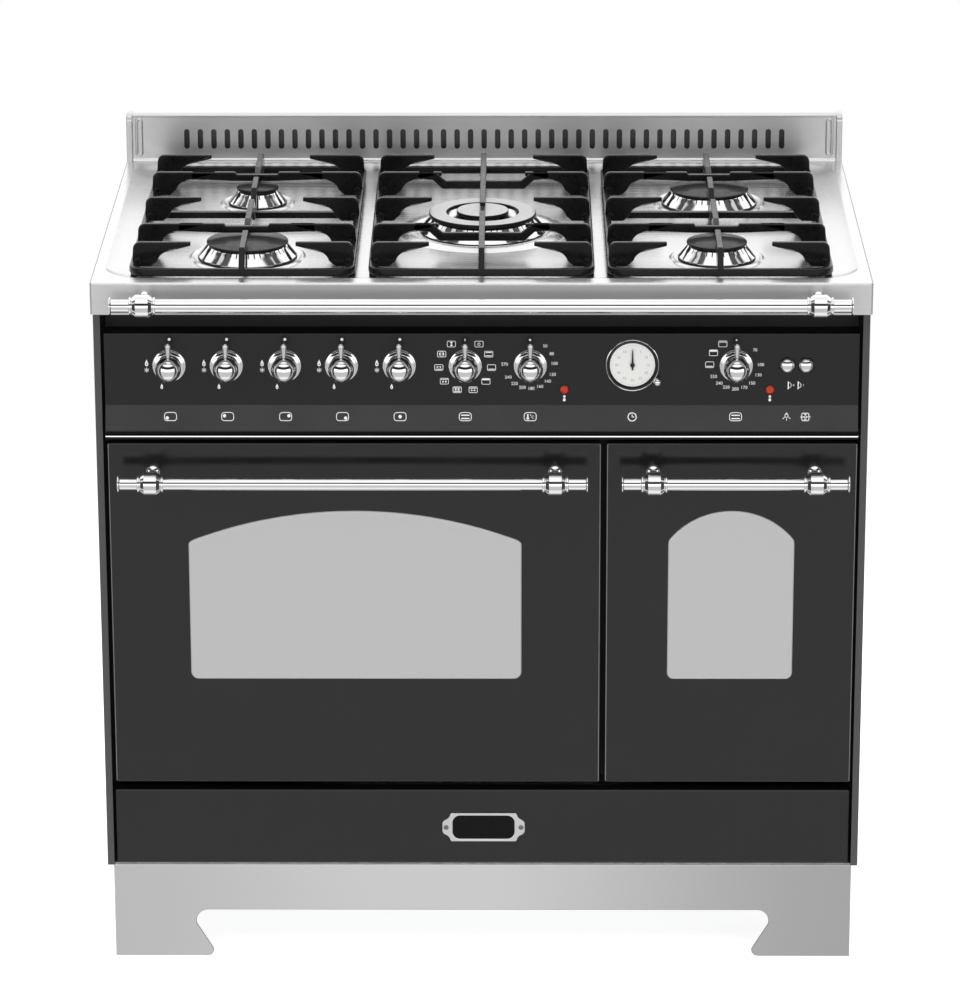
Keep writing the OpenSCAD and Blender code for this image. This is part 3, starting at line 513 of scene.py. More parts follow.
def plain(name, col, r=0.5, metal=0.0, scale=200.0, var=0.1, bump=0.05, spec=0.5):
    k = Mat(name)
    a = tuple(c * (1 - var) for c in col)
    b = tuple(min(1.0, c * (1 + var)) for c in col)
    k.color(k.ramp(k.noise(None, scale, 3.0), [(0.3, a), (0.7, b)]))
    k.rough(k.range(k.noise(None, scale / 3, 3.0), max(0.02, r - 0.06), min(1.0, r + 0.06), 0.3, 0.7))
    k.set(Metallic=metal, Specular_IOR_Level=spec)
    k.bump(k.noise(None, scale * 2, 2.0), bump, 0.0003)
    return k.m


def galvanised(name):
    k = Mat(name)
    v = k.node("TexVoronoi", feature="F1")
    v.inputs["Scale"].default_value = 90.0
    v.inputs["Randomness"].default_value = 1.0
    k.link(k.co, v.inputs["Vector"])
    sep = k.node("SeparateColor")
    k.link(v.outputs["Color"], sep.inputs[0])
    k.color(k.ramp(sep.outputs[0], [(0.0, (0.40, 0.41, 0.42)), (1.0, (0.56, 0.57, 0.58))]))
    k.rough(k.range(sep.outputs[1], 0.32, 0.5))
    k.set(Metallic=0.9)
    k.bump(k.noise(None, 150.0, 3.0), 0.06, 0.0004)
    return k.m


def speckled(name, base=(0.022, 0.023, 0.028)):
    """Oven enamel with pale specks."""
    k = Mat(name)
    v = k.node("TexVoronoi", feature="F1")
    v.inputs["Scale"].default_value = 420.0
    k.link(k.co, v.inputs["Vector"])
    dots = k.ramp(v.outputs["Distance"], [(0.0, 1.0), (0.16, 1.0), (0.2, 0.0)])
    gate = k.ramp(k.noise(None, 160.0, 2.0), [(0.52, 0.0), (0.56, 1.0)])
    f = k.math("MULTIPLY", dots, gate)
    k.color(k.ramp(f, [(0.0, base), (1.0, (0.32, 0.33, 0.36))]))
    k.rough(k.range(k.noise(None, 14.0, 3.0), 0.16, 0.3, 0.3, 0.7))
    k.bump(k.noise(None, 60.0, 2.0), 0.05, 0.0006)
    return k.m


steel = brushed("stainless_worktop", 0.80, 0.025, 0.22, 0.3, "x", 0.02)
# worktop lip: a darker copy of the worktop steel (painted shade), with painted reflections brightening both ends
steel_lip_painted_light = brushed("stainless_lip_painted_light", 0.46, 0.012, 0.34, 0.4, "x", 0.03, shade=[(-0.45, 1.6), (-0.41, 1.45), (-0.34, 1.0), (0.34, 1.0), (0.41, 1.45), (0.45, 1.6)])
steel_splash = brushed("stainless_splashback", 0.74, 0.015, 0.34, 0.4, "x", 0.012)
# darker copy of the splashback steel for its folded top and rear flange: painted shade
steel_flange_painted_shade = brushed("stainless_flange_painted_shade", 0.62, 0.015, 0.3, 0.36, "x", 0.012)
# kick plate: painted reflections along X, brightest just left of centre and darkest at the right end
steel_kick_painted_light = brushed("stainless_kick_plate_painted_light", 0.95, 0.006, 0.3, 0.36, "x", 0.03, shade=[(-0.45, 0.8), (-0.05, 0.95), (0.45, 0.6)])
# dark copy of the steel for the worktop fold ends, splashback slot walls and rear leaf, and kick plate edges: painted
# shade
steel_painted_shade = brushed("stainless_painted_shade", 0.20, 0.02, 0.4, 0.5, "x", 0.02)
# lighter copy of the steel for the splashback's foot bead and the kick plate's top edge: painted highlight
steel_painted_highlight = brushed("stainless_fold_painted_highlight", 0.92, 0.01, 0.25, 0.32, "x", 0.01)
mirror = chrome("chrome_polished", 0.88, 0.02)
crown_alloy = chrome("burner_polished", 0.86, 0.06)
front_enamel = enamel("enamel_front", (0.0058, 0.0058, 0.0061), 0.17, 0.02, 0.6, 0.1)
panel_enamel = enamel("enamel_panel", (0.0055, 0.0055, 0.0058), 0.24, 0.02, 0.45, 0.1)
# lighter enamel on the doors' left and right fold faces: painted highlight along the edges
edge_highlight_enamel = enamel("enamel_painted_edge_highlight", (0.2, 0.2, 0.202), 0.3, 0.02, 0.5, 0.1)
side_enamel = enamel("enamel_side", (0.055, 0.055, 0.056), 0.36, 0.03, 0.5, 0.1)
frame_enamel = enamel("enamel_frame", (0.006, 0.006, 0.0065), 0.45, 0.04, 0.3, 0.1)
cast_black = cast("cast_support", 0.004, 0.27)
cap_black = cast("cast_cap", 0.012, 0.42)
cap_grey = plain("cap_brushed", (0.52, 0.52, 0.53), 0.34, 0.75, 500.0, 0.04, 0.05)
# near-black for the flame slot faces: painted shade inside the slots
slot_painted_shade = plain("burner_slot_painted_shade", (0.012, 0.012, 0.012), 0.7, 0.0, 400.0, 0.2, 0.1)
alloy = plain("burner_alloy", (0.36, 0.36, 0.37), 0.42, 0.9, 260.0, 0.1, 0.15)
glass_silver = Mat("window_mirror")
glass_silver.color(glass_silver.ramp(glass_silver.noise(None, 1400.0, 2.0), [(0.3, (0.66, 0.66, 0.664)), (0.7, (0.672, 0.672, 0.676))]))
glass_silver.set(Metallic=0.85, Coat_Weight=0.6, Coat_Roughness=0.03)
glass_silver.rough(glass_silver.range(glass_silver.noise(None, 900.0, 2.0), 0.30, 0.34, 0.3, 0.7))
glass_silver = glass_silver.m
# bright material for the window pane's edge walls: painted highlight
glass_edge_highlight = plain("window_edge_painted_highlight", (0.75, 0.76, 0.76), 0.12, 0.6, 60.0, 0.04, 0.01)
dark_glass = plain("inner_glass", (0.010, 0.011, 0.012), 0.06, 0.0, 40.0, 0.05, 0.01, 0.6)
rubber = plain("seal_rubber", (0.018, 0.018, 0.018), 0.75, 0.0, 300.0, 0.2, 0.3, 0.3)
zinc = galvanised("galvanised")
cavity = speckled("cavity_enamel")
cavity_light = speckled("fan_cover_enamel", (0.03, 0.031, 0.036))
rack = chrome("rack_chrome", 0.72, 0.12)
heater = plain("heater_steel", (0.09, 0.085, 0.08), 0.5, 0.8, 300.0, 0.25, 0.2)
motor = plain("motor_steel", (0.30, 0.30, 0.31), 0.4, 0.9, 250.0, 0.1, 0.1)
fan_alloy = plain("fan_alloy", (0.5, 0.5, 0.52), 0.35, 1.0, 200.0, 0.08, 0.08)
lamp_glass = plain("lamp_glass", (0.82, 0.8, 0.72), 0.15, 0.0, 80.0, 0.05, 0.1)
brass = plain("tap_brass", (0.48, 0.38, 0.17), 0.34, 1.0, 250.0, 0.12, 0.08)
spindle_steel = plain("spindle_steel", (0.5, 0.5, 0.5), 0.28, 1.0, 400.0, 0.08, 0.05)
plastic = plain("switch_plastic", (0.62, 0.58, 0.47), 0.45, 0.0, 300.0, 0.08, 0.08)
foot_steel = plain("foot_steel", (0.42, 0.42, 0.43), 0.4, 0.9, 250.0, 0.15, 0.1)
drawer_grey = enamel("drawer_enamel", (0.10, 0.10, 0.105), 0.4, 0.04, 0.4, 0.1)
plate_silver = brushed("plate_silver", 0.88, 0.02, 0.26, 0.34, "x", 0.02)
plate_field = plain("plate_field", (0.003, 0.003, 0.0032), 0.12, 0.0, 500.0, 0.15, 0.01, 0.18)
screw_grey = plain("screw_grey", (0.30, 0.30, 0.31), 0.34, 0.9, 500.0, 0.1, 0.03)
paint = plain("print_white", (0.86, 0.86, 0.85), 0.55, 0.0, 900.0, 0.04, 0.04, 0.3)
dial_face = plain("dial_face", (0.74, 0.74, 0.72), 0.4, 0.0, 500.0, 0.03, 0.02, 0.3)
dial_ink = plain("dial_ink", (0.34, 0.34, 0.34), 0.6, 0.0, 900.0, 0.08, 0.02, 0.2)
dial_black = plain("dial_black", (0.008, 0.008, 0.008), 0.35, 0.0, 500.0, 0.1, 0.03, 0.4)
hand_black = plain("hand_black", (0.01, 0.01, 0.01), 0.35, 0.0, 500.0, 0.1, 0.03, 0.4)
red = Mat("lamp_red")
red.color(red.ramp(red.noise(None, 600.0, 3.0), [(0.3, (0.30, 0.012, 0.004)), (0.7, (0.62, 0.05, 0.012))]))
red.rough(red.range(red.noise(None, 300.0, 2.0), 0.12, 0.22, 0.3, 0.7))
red.set(Specular_IOR_Level=0.3, Coat_Weight=0.15, Coat_Roughness=0.05, Emission_Color=(0.9, 0.08, 0.01), Emission_Strength=0.05)
v = red.node("TexVoronoi", feature="F1")
v.inputs["Scale"].default_value = 700.0
red.link(red.co, v.inputs["Vector"])
red.bump(v.outputs["Distance"], 0.8, 0.0008)
red = red.m
ceramic = plain("electrode_ceramic", (0.7, 0.69, 0.66), 0.3, 0.0, 500.0, 0.05, 0.04)

# ------------------------------------------------------------------ shared dimensions (millimetres)
FACE = -254.0
LIP_Z, TOP_Z, WELL = 812.2, 850.0, 842.0
B_FL, B_RL, B_C, B_RR, B_FR = (-275.5, -135), (-276, 109), (0, -19), (276, 108), (275.5, -140)
KNOB_Z = 744.5
KNOBS = {"front_left": -362, "rear_left": -295.6, "rear_right": -228.2, "front_right": -162.1, "centre": -95.2}
K_FN, K_HT, K_SO = -18.9, 56.5, 294.9

# ------------------------------------------------------------------ worktop


def worktop():
    s = Solid()
    N = 24

    def loop(x0, y0, x1, y1, r, z):
        c = []
        for a, b, (sx, sy) in [(x0 + r, y0 + r, (180, 270)), (x1 - r, y0 + r, (270, 360)), (x1 - r, y1 - r, (0, 90)), (x0 + r, y1 - r, (90, 180))]:
            c.append(arc(a, b, r, sx, sy, 10))
        out = []
        for i in range(4):
            p, q = c[i], c[(i + 1) % 4]
            out += p
            out += [(p[-1][0] + (q[0][0] - p[-1][0]) * k / N, p[-1][1] + (q[0][1] - p[-1][1]) * k / N) for k in range(1, N)]
        return [(u, v, z) for u, v in out]

    X, Y0, Y1 = 450.0, -276.0, 324.0
    loops = []
    t = 1.5
    for i in range(5):  # folded edge, radius 2
        a = rad(90 * i / 4)
        loops.append(loop(-X + 2.2 * (1 - math.cos(a)), Y0 + 2.2 * (1 - math.cos(a)), X - 2.2 * (1 - math.cos(a)), Y1 - 2.2 * (1 - math.cos(a)), 3.4 - 2.2 * (1 - math.cos(a)) * 0.6, TOP_Z - 2.2 + 2.2 * math.sin(a)))
    loops = [loop(-X, Y0, X, Y1, 3.4, LIP_Z)] + loops
    # raised border falls to the well over a soft S
    wx0, wy0, wx1, wy1 = -433.5, -250.0, 433.5, 270.0
    fall = [(0, 0), (0.6, 0.05), (1.4, 0.3), (2.6, 0.95), (4.0, 1.7), (6.5, 2.9), (10, 4.3), (14, 5.5), (19, 6.55), (24, 7.3), (29, 7.78), (34, 8.0)]
    for d, drop in fall:
        inset = -5.0 + d
        z = TOP_Z - drop
        loops.append(loop(wx0 + inset, wy0 + inset, wx1 - inset, wy1 - inset, 46 - inset * 0.8, z))
    m = len(loops[0])
    # outside of the sheet
    verts, faces = [], []
    for k, lp in enumerate(loops):
        verts += lp
        if k:
            faces += strip((k - 1) * m, k * m, m)
    inner = loops[-1]
    top_ids = list(range(len(verts) - m, len(verts)))
    # inside of the sheet
    back = [loop(-X + t, Y0 + t, X - t, Y1 - t, 2.4, LIP_Z), loop(-X + t, Y0 + t, X - t, Y1 - t, 2.4, TOP_Z - t - 0.8)]
    back.append(loop(-X + t + 0.8, Y0 + t + 0.8, X - t - 0.8, Y1 - t - 0.8, 2.0, TOP_Z - t))
    for d, drop in fall:
        inset = -5.0 - t * 0.4 + d
        z = TOP_Z - t - drop
        back.append(loop(wx0 + inset, wy0 + inset, wx1 - inset, wy1 - inset, 46 - inset * 0.8, z))
    b0 = len(verts)
    for k, lp in enumerate(back):
        verts += lp
        if k:
            faces += strip(b0 + (k - 1) * m, b0 + k * m, m)
    faces += strip(0, b0, m)
    back_ids = list(range(len(verts) - m, len(verts)))
    # pressed rings round the burners: radius and height above the well floor, outside to inside
    K = 96
    rings = []
    small = [(0, 0), (1.0, 0.22), (2.2, 1.25), (3.2, 2.1), (4.0, 2.4), (4.9, 2.1), (6.0, 1.25), (7.3, 0.7), (8.5, 0.55), (10.0, 0.6), (13.0, 0.6)]
    for c, r0, hole, prof in [
        (B_FL, 69.0, 47.5, small), (B_RR, 69.0, 47.5, small), (B_FR, 56.5, 35.5, small), (B_RL, 46.5, 25.5, small),
        (B_C, 101.0, 64.5, [(0, 0), (1.5, 0.2), (4.0, 1.0), (8.0, 2.3), (13.0, 3.4), (16.0, 3.7), (19.0, 3.4), (21.5, 2.2), (23.5, 1.7), (26, 1.6)]),
    ]:
        rings.append((c, r0, hole, prof))
    fills, bfills = [], []
    for c, r0, hole, prof in rings:
        pr = [(r0 - d, WELL + h) for d, h in prof] + [(hole, WELL + prof[-1][1]), (hole, WELL + prof[-1][1] - t)]
        pr += [(r0 - d + 0.3, WELL + h - t) for d, h in prof[::-1]]
        s0 = len(verts)
        for k, (r, z) in enumerate(pr):
            verts += [(x, y, z) for x, y in circle(c[0], c[1], r, K)]
            if k:
                faces += strip(len(verts) - 2 * K, len(verts) - K, K)
        fills.append((list(range(s0, s0 + K)), circle(c[0], c[1], r0, K)))
        bfills.append((list(range(len(verts) - K, len(verts))), circle(c[0], c[1], r0 + 0.3, K)))
    ids = top_ids + [i for f in fills for i in f[0]]
    tris = fill([(p[0], p[1]) for p in inner], [f[1] for f in fills])
    faces += [tuple(ids[i] for i in q) for q in tris]
    ids = back_ids + [i for f in bfills for i in f[0]]
    tris = fill([(p[0], p[1]) for p in back[-1]], [f[1] for f in bfills])
    faces += [tuple(ids[i] for i in q) for q in tris]
    # the lip faces (index 1) take the lip steel with its painted shade and painted reflections
    mats = [1] * m + [0] * (len(faces) - m)
    # the fold's left and right ends (index 2) get painted shade
    for i in range(m, 4 * m):
        if min(abs(verts[k][0]) for k in faces[i]) > 448.5:
            mats[i] = 2
    s.add(verts, faces, mats)
    return s


build("worktop_sheet", worktop(), [steel, steel_lip_painted_light, steel_painted_shade], "root", ["worktop"], angle=50)

# ------------------------------------------------------------------ splashback


def splashback():
    s = Solid()
    z1 = TOP_Z + 60
    zt = z1 - 2
    x = 442.0
    slots = [rr(i * 17 - 3.2, z1 - 45, i * 17 + 3.2, z1 - 20, 3.19, 6) for i in range(-22, 23)]
    leaf = plate([(-x, TOP_Z), (x, TOP_Z), (x, zt - 2.4), (-x, zt - 2.4)], slots, 289, 290.5, 0.0, plane="xz", rh=0.25)
    # the slot walls (index 2) get painted shade
    for i, vs in enumerate(leaf.f):
        ys, zs = [leaf.v[k][1] for k in vs], [leaf.v[k][2] for k in vs]
        if max(ys) - min(ys) > 0.02 and min(zs) > TOP_Z + 10 and max(zs) < zt - 10:
            leaf.m[i] = 2
    s.join(leaf)
    # folded top, rear flange, in a darker copy of the splashback steel: painted shade
    prof = fillet([(289, zt - 2.4), (289, zt), (305, zt), (305, zt - 15), (303.5, zt - 15), (303.5, zt - 1.5), (290.5, zt - 1.5), (290.5, zt - 2.4)], 2.2, 5)
    s.join(plate(prof, (), -x, x, 0.0, plane="yz"), 3)
    # rear leaf in painted shade, and the rolled bead along the foot with a painted highlight
    s.join(plate([(-x, TOP_Z), (x, TOP_Z), (x, zt - 14), (-x, zt - 14)], (), 303.6, 304.9, 0.3, 2), 2)
    s.join(plate([(289.4, TOP_Z + 0.02)] + arc(289, TOP_Z + 0.02, 3, 90, 180, 8), (), -x, x, 0.0, plane="yz"), 1)
    s.join(plate([(289, TOP_Z), (300, TOP_Z), (300, TOP_Z + 1.5), (289, TOP_Z + 1.5)], (), -x, x, 0.0, plane="yz"))
    # embossed ovals
    for c in (-434, 434):
        o = rr(c - 5, TOP_Z + 5, c + 5, z1 - 5, 4.9, 8)
        verts, faces = [], []
        m = len(dedupe(o))
        o = dedupe(o)
        lv = [(0, 289.0), (0.3, 288.6), (0.9, 288.0), (1.7, 287.65), (2.5, 287.7), (3.2, 288.1), (3.7, 288.3)]
        for k, (d, y) in enumerate(lv):
            verts += [(u, y, v) for u, v in (offset(o, d) if d else o)]
            if k:
                faces += strip((k - 1) * m, k * m, m)
        ids = list(range(len(verts) - m, len(verts)))
        faces += [tuple(ids[i] for i in q) for q in fill(offset(o, 3.7))]
        faces += [tuple(q) for q in fill(o)]
        s.add(verts, faces)
    # end caps
    for sx in (-1, 1):
        prof = [(287.0, TOP_Z), (305, TOP_Z), (305, z1)] + arc(297, z1 - 10, 10, 90, 180, 10)
        a, b = (442.0, 450.0) if sx > 0 else (-450.0, -442.0)
        s.join(plate(prof, (), a, b, 1.4, 4, plane="yz"))
    return s


build("splashback_sheet", splashback(), [steel_splash, steel_painted_highlight, steel_painted_shade, steel_flange_painted_shade], "root", ["splashback"], angle=40)

# ------------------------------------------------------------------ burners


def crown(c, d, slots, base_z=844.0):
    """Polished cone with flame slots under the cap; the slot faces carry near-black painted shade."""
    R = d / 2 + 9.5
    full = [(R - 0.8, 0), (R, 0.7), (R - 0.2, 1.6), (d / 2 + 3.6, 8.0), (d / 2 - 0.2, 12.6), (d / 2 - 1.3, 14.2), (d / 2 - 3.4, 15.6), (d / 2 - 12, 15.8), (d / 2 - 12, 0)]
    cut = [(R - 0.8, 0), (R, 0.7), (R - 0.2, 1.6), (d / 2 + 3.6, 8.0), (d / 2 + 2.3, 9.6), (d / 2 + 0.8, 9.8), (d / 2 - 6.0, 10.0), (d / 2 - 12, 10.2), (d / 2 - 12, 0)]
    verts, faces, mats = [], [], []
    cols = []
    w = 0.5 / (d / 2)
    for k in range(slots):
        a = 2 * math.pi * (k + 0.5) / slots
        p = 2 * math.pi / slots
        cols += [(a - w - 0.004, 0), (a - w, 1), (a + w, 1), (a + w + 0.004, 0), (a + p * 0.5, 0)]
    for a, kind in cols:
        prof = cut if kind else full
        verts += [(c[0] + r * math.cos(a), c[1] + r * math.sin(a), base_z + h) for r, h in prof]
    m, q = len(cols), len(full)
    for i in range(m):
        j = (i + 1) % m
        for k in range(q):
            l = (k + 1) % q
            faces.append((i * q + k, j * q + k, j * q + l, i * q + l))
            both = cols[i][1] and cols[j][1]
            side = cols[i][1] != cols[j][1]
            mats.append(1 if ((both and k in (4, 5, 6, 7)) or (side and 2 < k < 8)) else 0)
    return Solid().add(verts, faces, mats)


s = Solid()
for c, d, n in [(B_FL, 96, 44), (B_RR, 96, 44), (B_FR, 71, 34), (B_RL, 51, 24)]:
    s.join(crown(c, d, n))
    R = d / 2 + 9.5
    s.join(lathe(fillet([(R - 6, 842.7), (R + 0.7, 842.7), (R + 0.7, 844.3), (R - 6, 844.3)], 0.3, 3), 96, (c[0], c[1], 0), "z", 1, closed=True))


def centre_crown():
    s = Solid()
    verts, faces, mats, cols = [], [], [], []
    full = [(50, 0), (74.2, 0), (75, 0.8), (74.6, 1.7), (68.4, 9.0), (63.0, 14.6), (62.2, 15.8), (60.4, 17.2), (50, 17.3)]
    cut = [(50, 0), (74.2, 0), (75, 0.8), (74.6, 1.7), (68.4, 9.0), (66.3, 11.2), (60.0, 11.4), (56.5, 11.5), (50, 11.6)]
    n = 56
    w = 0.5 / 63
    for k in range(n):
        a = 2 * math.pi * (k + 0.5) / n
        cols += [(a - w - 0.003, 0), (a - w, 1), (a + w, 1), (a + w + 0.003, 0), (a + math.pi / n, 0)]
    for a, kind in cols:
        verts += [(B_C[0] + r * math.cos(a), B_C[1] + r * math.sin(a), 844 + h) for r, h in (cut if kind else full)]
    m, q = len(cols), len(full)
    for i in range(m):
        j = (i + 1) % m
        for k in range(q):
            faces.append((i * q + k, j * q + k, j * q + (k + 1) % q, i * q + (k + 1) % q))
            both, side = cols[i][1] and cols[j][1], cols[i][1] != cols[j][1]
            # slot faces (index 1) get the near-black painted shade
            mats.append(1 if ((both and k in (5, 6, 7)) or (side and 4 < k < 8)) else 0)
    s.add(verts, faces, mats)
    s.join(lathe(fillet([(66, 843.0), (75.8, 843.0), (75.8, 844.3), (66, 844.3)], 0.3, 3), 96, (B_C[0], B_C[1], 0), "z", 1, closed=True))
    # dish between the rings, and the raised inner crown with its own slots
    s.join(lathe(fillet([(25, 845.5), (50.2, 845.5), (50.2, 861), (48.4, 861), (48.4, 847.6), (25, 847.0)], 0.5, 2), 96, (B_C[0], B_C[1], 0), "z", 0, closed=True))
    verts, faces, mats, cols = [], [], [], []
    full = [(21, 818), (27, 818), (27, 862.3), (26.6, 863.6), (25.2, 864), (21, 864)]
    cut = [(21, 818), (27, 818), (27, 859.8), (23.5, 860.0), (23, 860.1), (21, 860.1)]
    n = 30
    w = 0.5 / 27
    for k in range(n):
        a = 2 * math.pi * (k + 0.5) / n
        cols += [(a - w - 0.006, 0), (a - w, 1), (a + w, 1), (a + w + 0.006, 0), (a + math.pi / n, 0)]
    for a, kind in cols:
        verts += [(B_C[0] + r * math.cos(a), B_C[1] + r * math.sin(a), h) for r, h in (cut if kind else full)]
    m, q = len(cols), len(full)
    for i in range(m):
        j = (i + 1) % m
        for k in range(q):
            faces.append((i * q + k, j * q + k, j * q + (k + 1) % q, i * q + (k + 1) % q))
            both, side = cols[i][1] and cols[j][1], cols[i][1] != cols[j][1]
            # slot faces (index 1) get the near-black painted shade
            mats.append(1 if ((both and k in (2, 3, 4)) or (side and 1 < k < 5)) else 0)
    s.add(verts, faces, mats)
    return s


s.join(centre_crown())
build("burner_crown_set", s, [crown_alloy, slot_painted_shade], "root", ["burner_crowns"], angle=30)

s = Solid()
for c, d in [(B_FL, 96), (B_RR, 96), (B_FR, 71), (B_RL, 51)]:
    h = 5.2
    rim = math.sin(rad(7.02)) * d * 4
    R = d * 4.0
    dome = [(math.sin(rad(7.02 * i / 14)) * R, h - R + R * math.cos(rad(7.02 * i / 14))) for i in range(14, -1, -1)]
    edge = dome[0][1]
    prof = [(0, 0.0), (d / 2 - 0.8, 0.0), (d / 2 - 0.25, 0.25), (d / 2, 0.9), (d / 2, edge - 0.9), (d / 2 - 0.25, edge - 0.3), (d / 2 - 0.9, edge)] + [p for p in dome if p[0] < d / 2 - 1.6] + [(0, h)]
    prof = [p for i, p in enumerate(prof) if i == 0 or math.dist(p, prof[i - 1]) > 1e-3]
    s.join(lathe([(a, 860 + b) for a, b in prof], 112, (c[0], c[1], 0), "z", 0))
ring = fillet([(43, 861.5), (64, 861.5), (64, 865.2), (63.2, 866), (43.8, 866), (43, 865.2)], 0.5, 3)
s.join(lathe(ring, 120, (B_C[0], B_C[1], 0), "z", 1, closed=True))
disc = fillet([(0, 864), (31, 864), (31, 867.8), (30.3, 868.5), (0, 868.5)], 0.6, 3, closed=False)
s.join(lathe(disc, 96, (B_C[0], B_C[1], 0), "z", 1))
# dark enamelled sides of the ring and the disc
for i, (vs) in enumerate(s.f):
    if s.m[i] == 1:
        zs = [s.v[k][2] for k in vs]
        if max(zs) < 865.95 or (min(zs) < 868.2 and max(zs) > 866.2 and max(zs) < 868.45):
            s.m[i] = 0
build("burner_cap_set", s, [cap_black, cap_grey], "root", ["burner_caps"], angle=40)

# ------------------------------------------------------------------ pan supports


def bracket(l, z0, zt):
    return [(1.6, z0 + 0.8), (2.6, zt - 14)] + arc(11, zt - 8, 8, 175, 90, 8) + [(l - 1, zt), (l, zt - 1), (l, zt - 4.5), (44, zt - 11)] + arc(46, zt - 26, 15, 95, 165, 8) + [(24, z0 + 0.8)]


def support(x0, x1, centre, fy0, fy1):
    s = Solid()
    cx = (x0 + x1) / 2
    z0, zb, zt = WELL, WELL + 6, WELL + 36
    y0, y1, h = -243, 236, 3.5
    rows = [-199, -117, 3, 123, 207]
    s.join(plate(rr(x0, y0, x1, y1, 22, 10), [rr(x0 + 9, y0 + 9, x1 - 9, y1 - 9, 14, 10)], zb, zb + 9, 2.6, 4, "xy"))
    if not centre:
        s.join(plate([(14, zb + 0.5), (22, zb + 0.5), (22, zb + 8), (14, zb + 8)], (), x0 + 4, x1 - 4, 0.0, plane="yz", place=None))
    for x in (x0 + 5, x1 - 5):
        for y in (y0 + 32, 0, y1 - 32):
            s.join(lathe(fillet([(0, z0), (4.5, z0), (4.5, zb + 3), (0, zb + 3)], 0.8, 3, closed=False), 24, (x, y, 0), "z"))
    # flared roots of the front and rear fingers
    for ya, yb in ((y1 - 1.6, y1 - 17), (y0 + 1.6, y0 + 17)):
        s.join(plate([(cx - 6.5, ya), (cx + 6.5, ya), (cx + 3.3, yb), (cx - 3.3, yb)], (), zb + 1.0, zb + 8.3, 1.0, 3, "xy"))
    for i, y in enumerate(rows):
        for sx, x in ((1, x0), (-1, x1)):
            p = [(x + sx * u, v) for u, v in bracket(70 if i % 2 == 0 else 80, zb, zt)]
            s.join(plate(p, (), y - h, y + h, 1.5, 3, "xz"))
            s.join(lathe(fillet([(0, -7), (4, -7), (4, 7), (0, 7)], 1.2, 3, closed=False), 24, (x + sx * 9, y, zb + 8), "y"))
    if centre:
        for y in (rows[1], rows[3]):
            p = fillet([(x0 + 50, zt), (cx - 60, zt), (cx - 46, zt - 11), (cx + 46, zt - 11), (cx + 60, zt), (x1 - 50, zt), (x1 - 50, zt - 8), (cx + 62, zt - 10), (cx + 50, zt - 21), (cx - 50, zt - 21), (cx - 62, zt - 10), (x0 + 50, zt - 8)], 2.5, 3)
            s.join(plate(p, (), y - h, y + h, 1.5, 3, "xz"))
        for p in (
            [(234.7, zb + 0.8), (234.7, zb + 9), (218, zt - 1), (216, zt), (-22, zt), (-24, zt - 4), (-14, zt - 7), (60, zt - 10), (112, zt - 11), (120, zt - 20), (127, zt - 20), (135, zt - 12), (196, zt - 12), (214, zb + 0.8)],
            [(-241.7, zb + 0.8), (-241.7, zb + 9), (-226, zt - 1), (-224, zt), (-62, zt), (-60, zt - 4), (-68, zt - 7), (-106, zt - 10), (-114, zt - 20), (-121, zt - 20), (-129, zt - 12), (-206, zt - 12), (-224, zb + 0.8)],
        ):
            s.join(plate(fillet(p, 1.6, 3), (), cx - h, cx + h, 1.4, 3, "yz"))
    else:
        for y in (rows[1], rows[3]):
            p = fillet([(x0 + 50, zt), (cx - 27, zt), (cx - 25, zt - 3), (cx + 25, zt - 3), (cx + 27, zt), (x1 - 50, zt), (x1 - 50, zt - 9), (cx + 27, zt - 11), (cx - 27, zt - 11), (x0 + 50, zt - 9)], 1.6, 3)
            s.join(plate(p, (), y - h, y + h, 1.4, 3, "xz"))
        for p in (
            [(234.7, zb + 0.8), (234.7, zb + 9), (218, zt - 1), (216, zt), (148, zt), (130, zt - 3), (120, zt - 6), (120, zt - 11), (196, zt - 13), (214, zb + 0.8)],
            [(14, zb), (18, zb + 9), (45, zt - 1), (47, zt), (fy1 - 2, zt), (fy1, zt - 4), (60, zt - 12), (40, zb + 12), (26, zb)],
            [(22, zb), (18, zb + 9), (-4, zt - 1), (-6, zt), (-94, zt), (-108, zt - 3), (-114, zt - 5), (-114, zt - 11), (-40, zt - 12), (-8, zb + 12), (8, zb)],
            [(-241.7, zb + 0.8), (-241.7, zb + 9), (-225, zt - 1), (-223, zt), (fy0 - 2, zt), (fy0, zt - 4), (-206, zt - 12), (-222, zb + 0.8)],
        ):
            s.join(plate(fillet(p, 1.6, 3), (), cx - h, cx + h, 1.4, 3, "yz"))
    return s


build("left_grate", support(-408, -146, False, -145, 102), [cast_black], "left_support", ["left_pan_support"], angle=45)
build("centre_grate", support(-131, 131, True, 0, 0), [cast_black], "centre_support", ["centre_pan_support"], angle=45)
build("right_grate", support(145, 407, False, -142, 102), [cast_black], "right_support", ["right_pan_support"], angle=45)

# ------------------------------------------------------------------ rails
COLLAR = [(0, -15), (10.4, -15), (10.4, -12.6), (9.2, -12.6), (9.2, -11.2), (10.5, -11.2), (13.5, -7.2), (13.5, 7.2), (10.5, 11.2), (9.2, 11.2), (9.2, 12.6), (10.4, 12.6),
          (10.4, 15), (7.6, 15), (7.6, 35.5), (9, 35.5), (10.3, 36.3), (10.3, 37.4), (9.4, 38), (0, 38)]


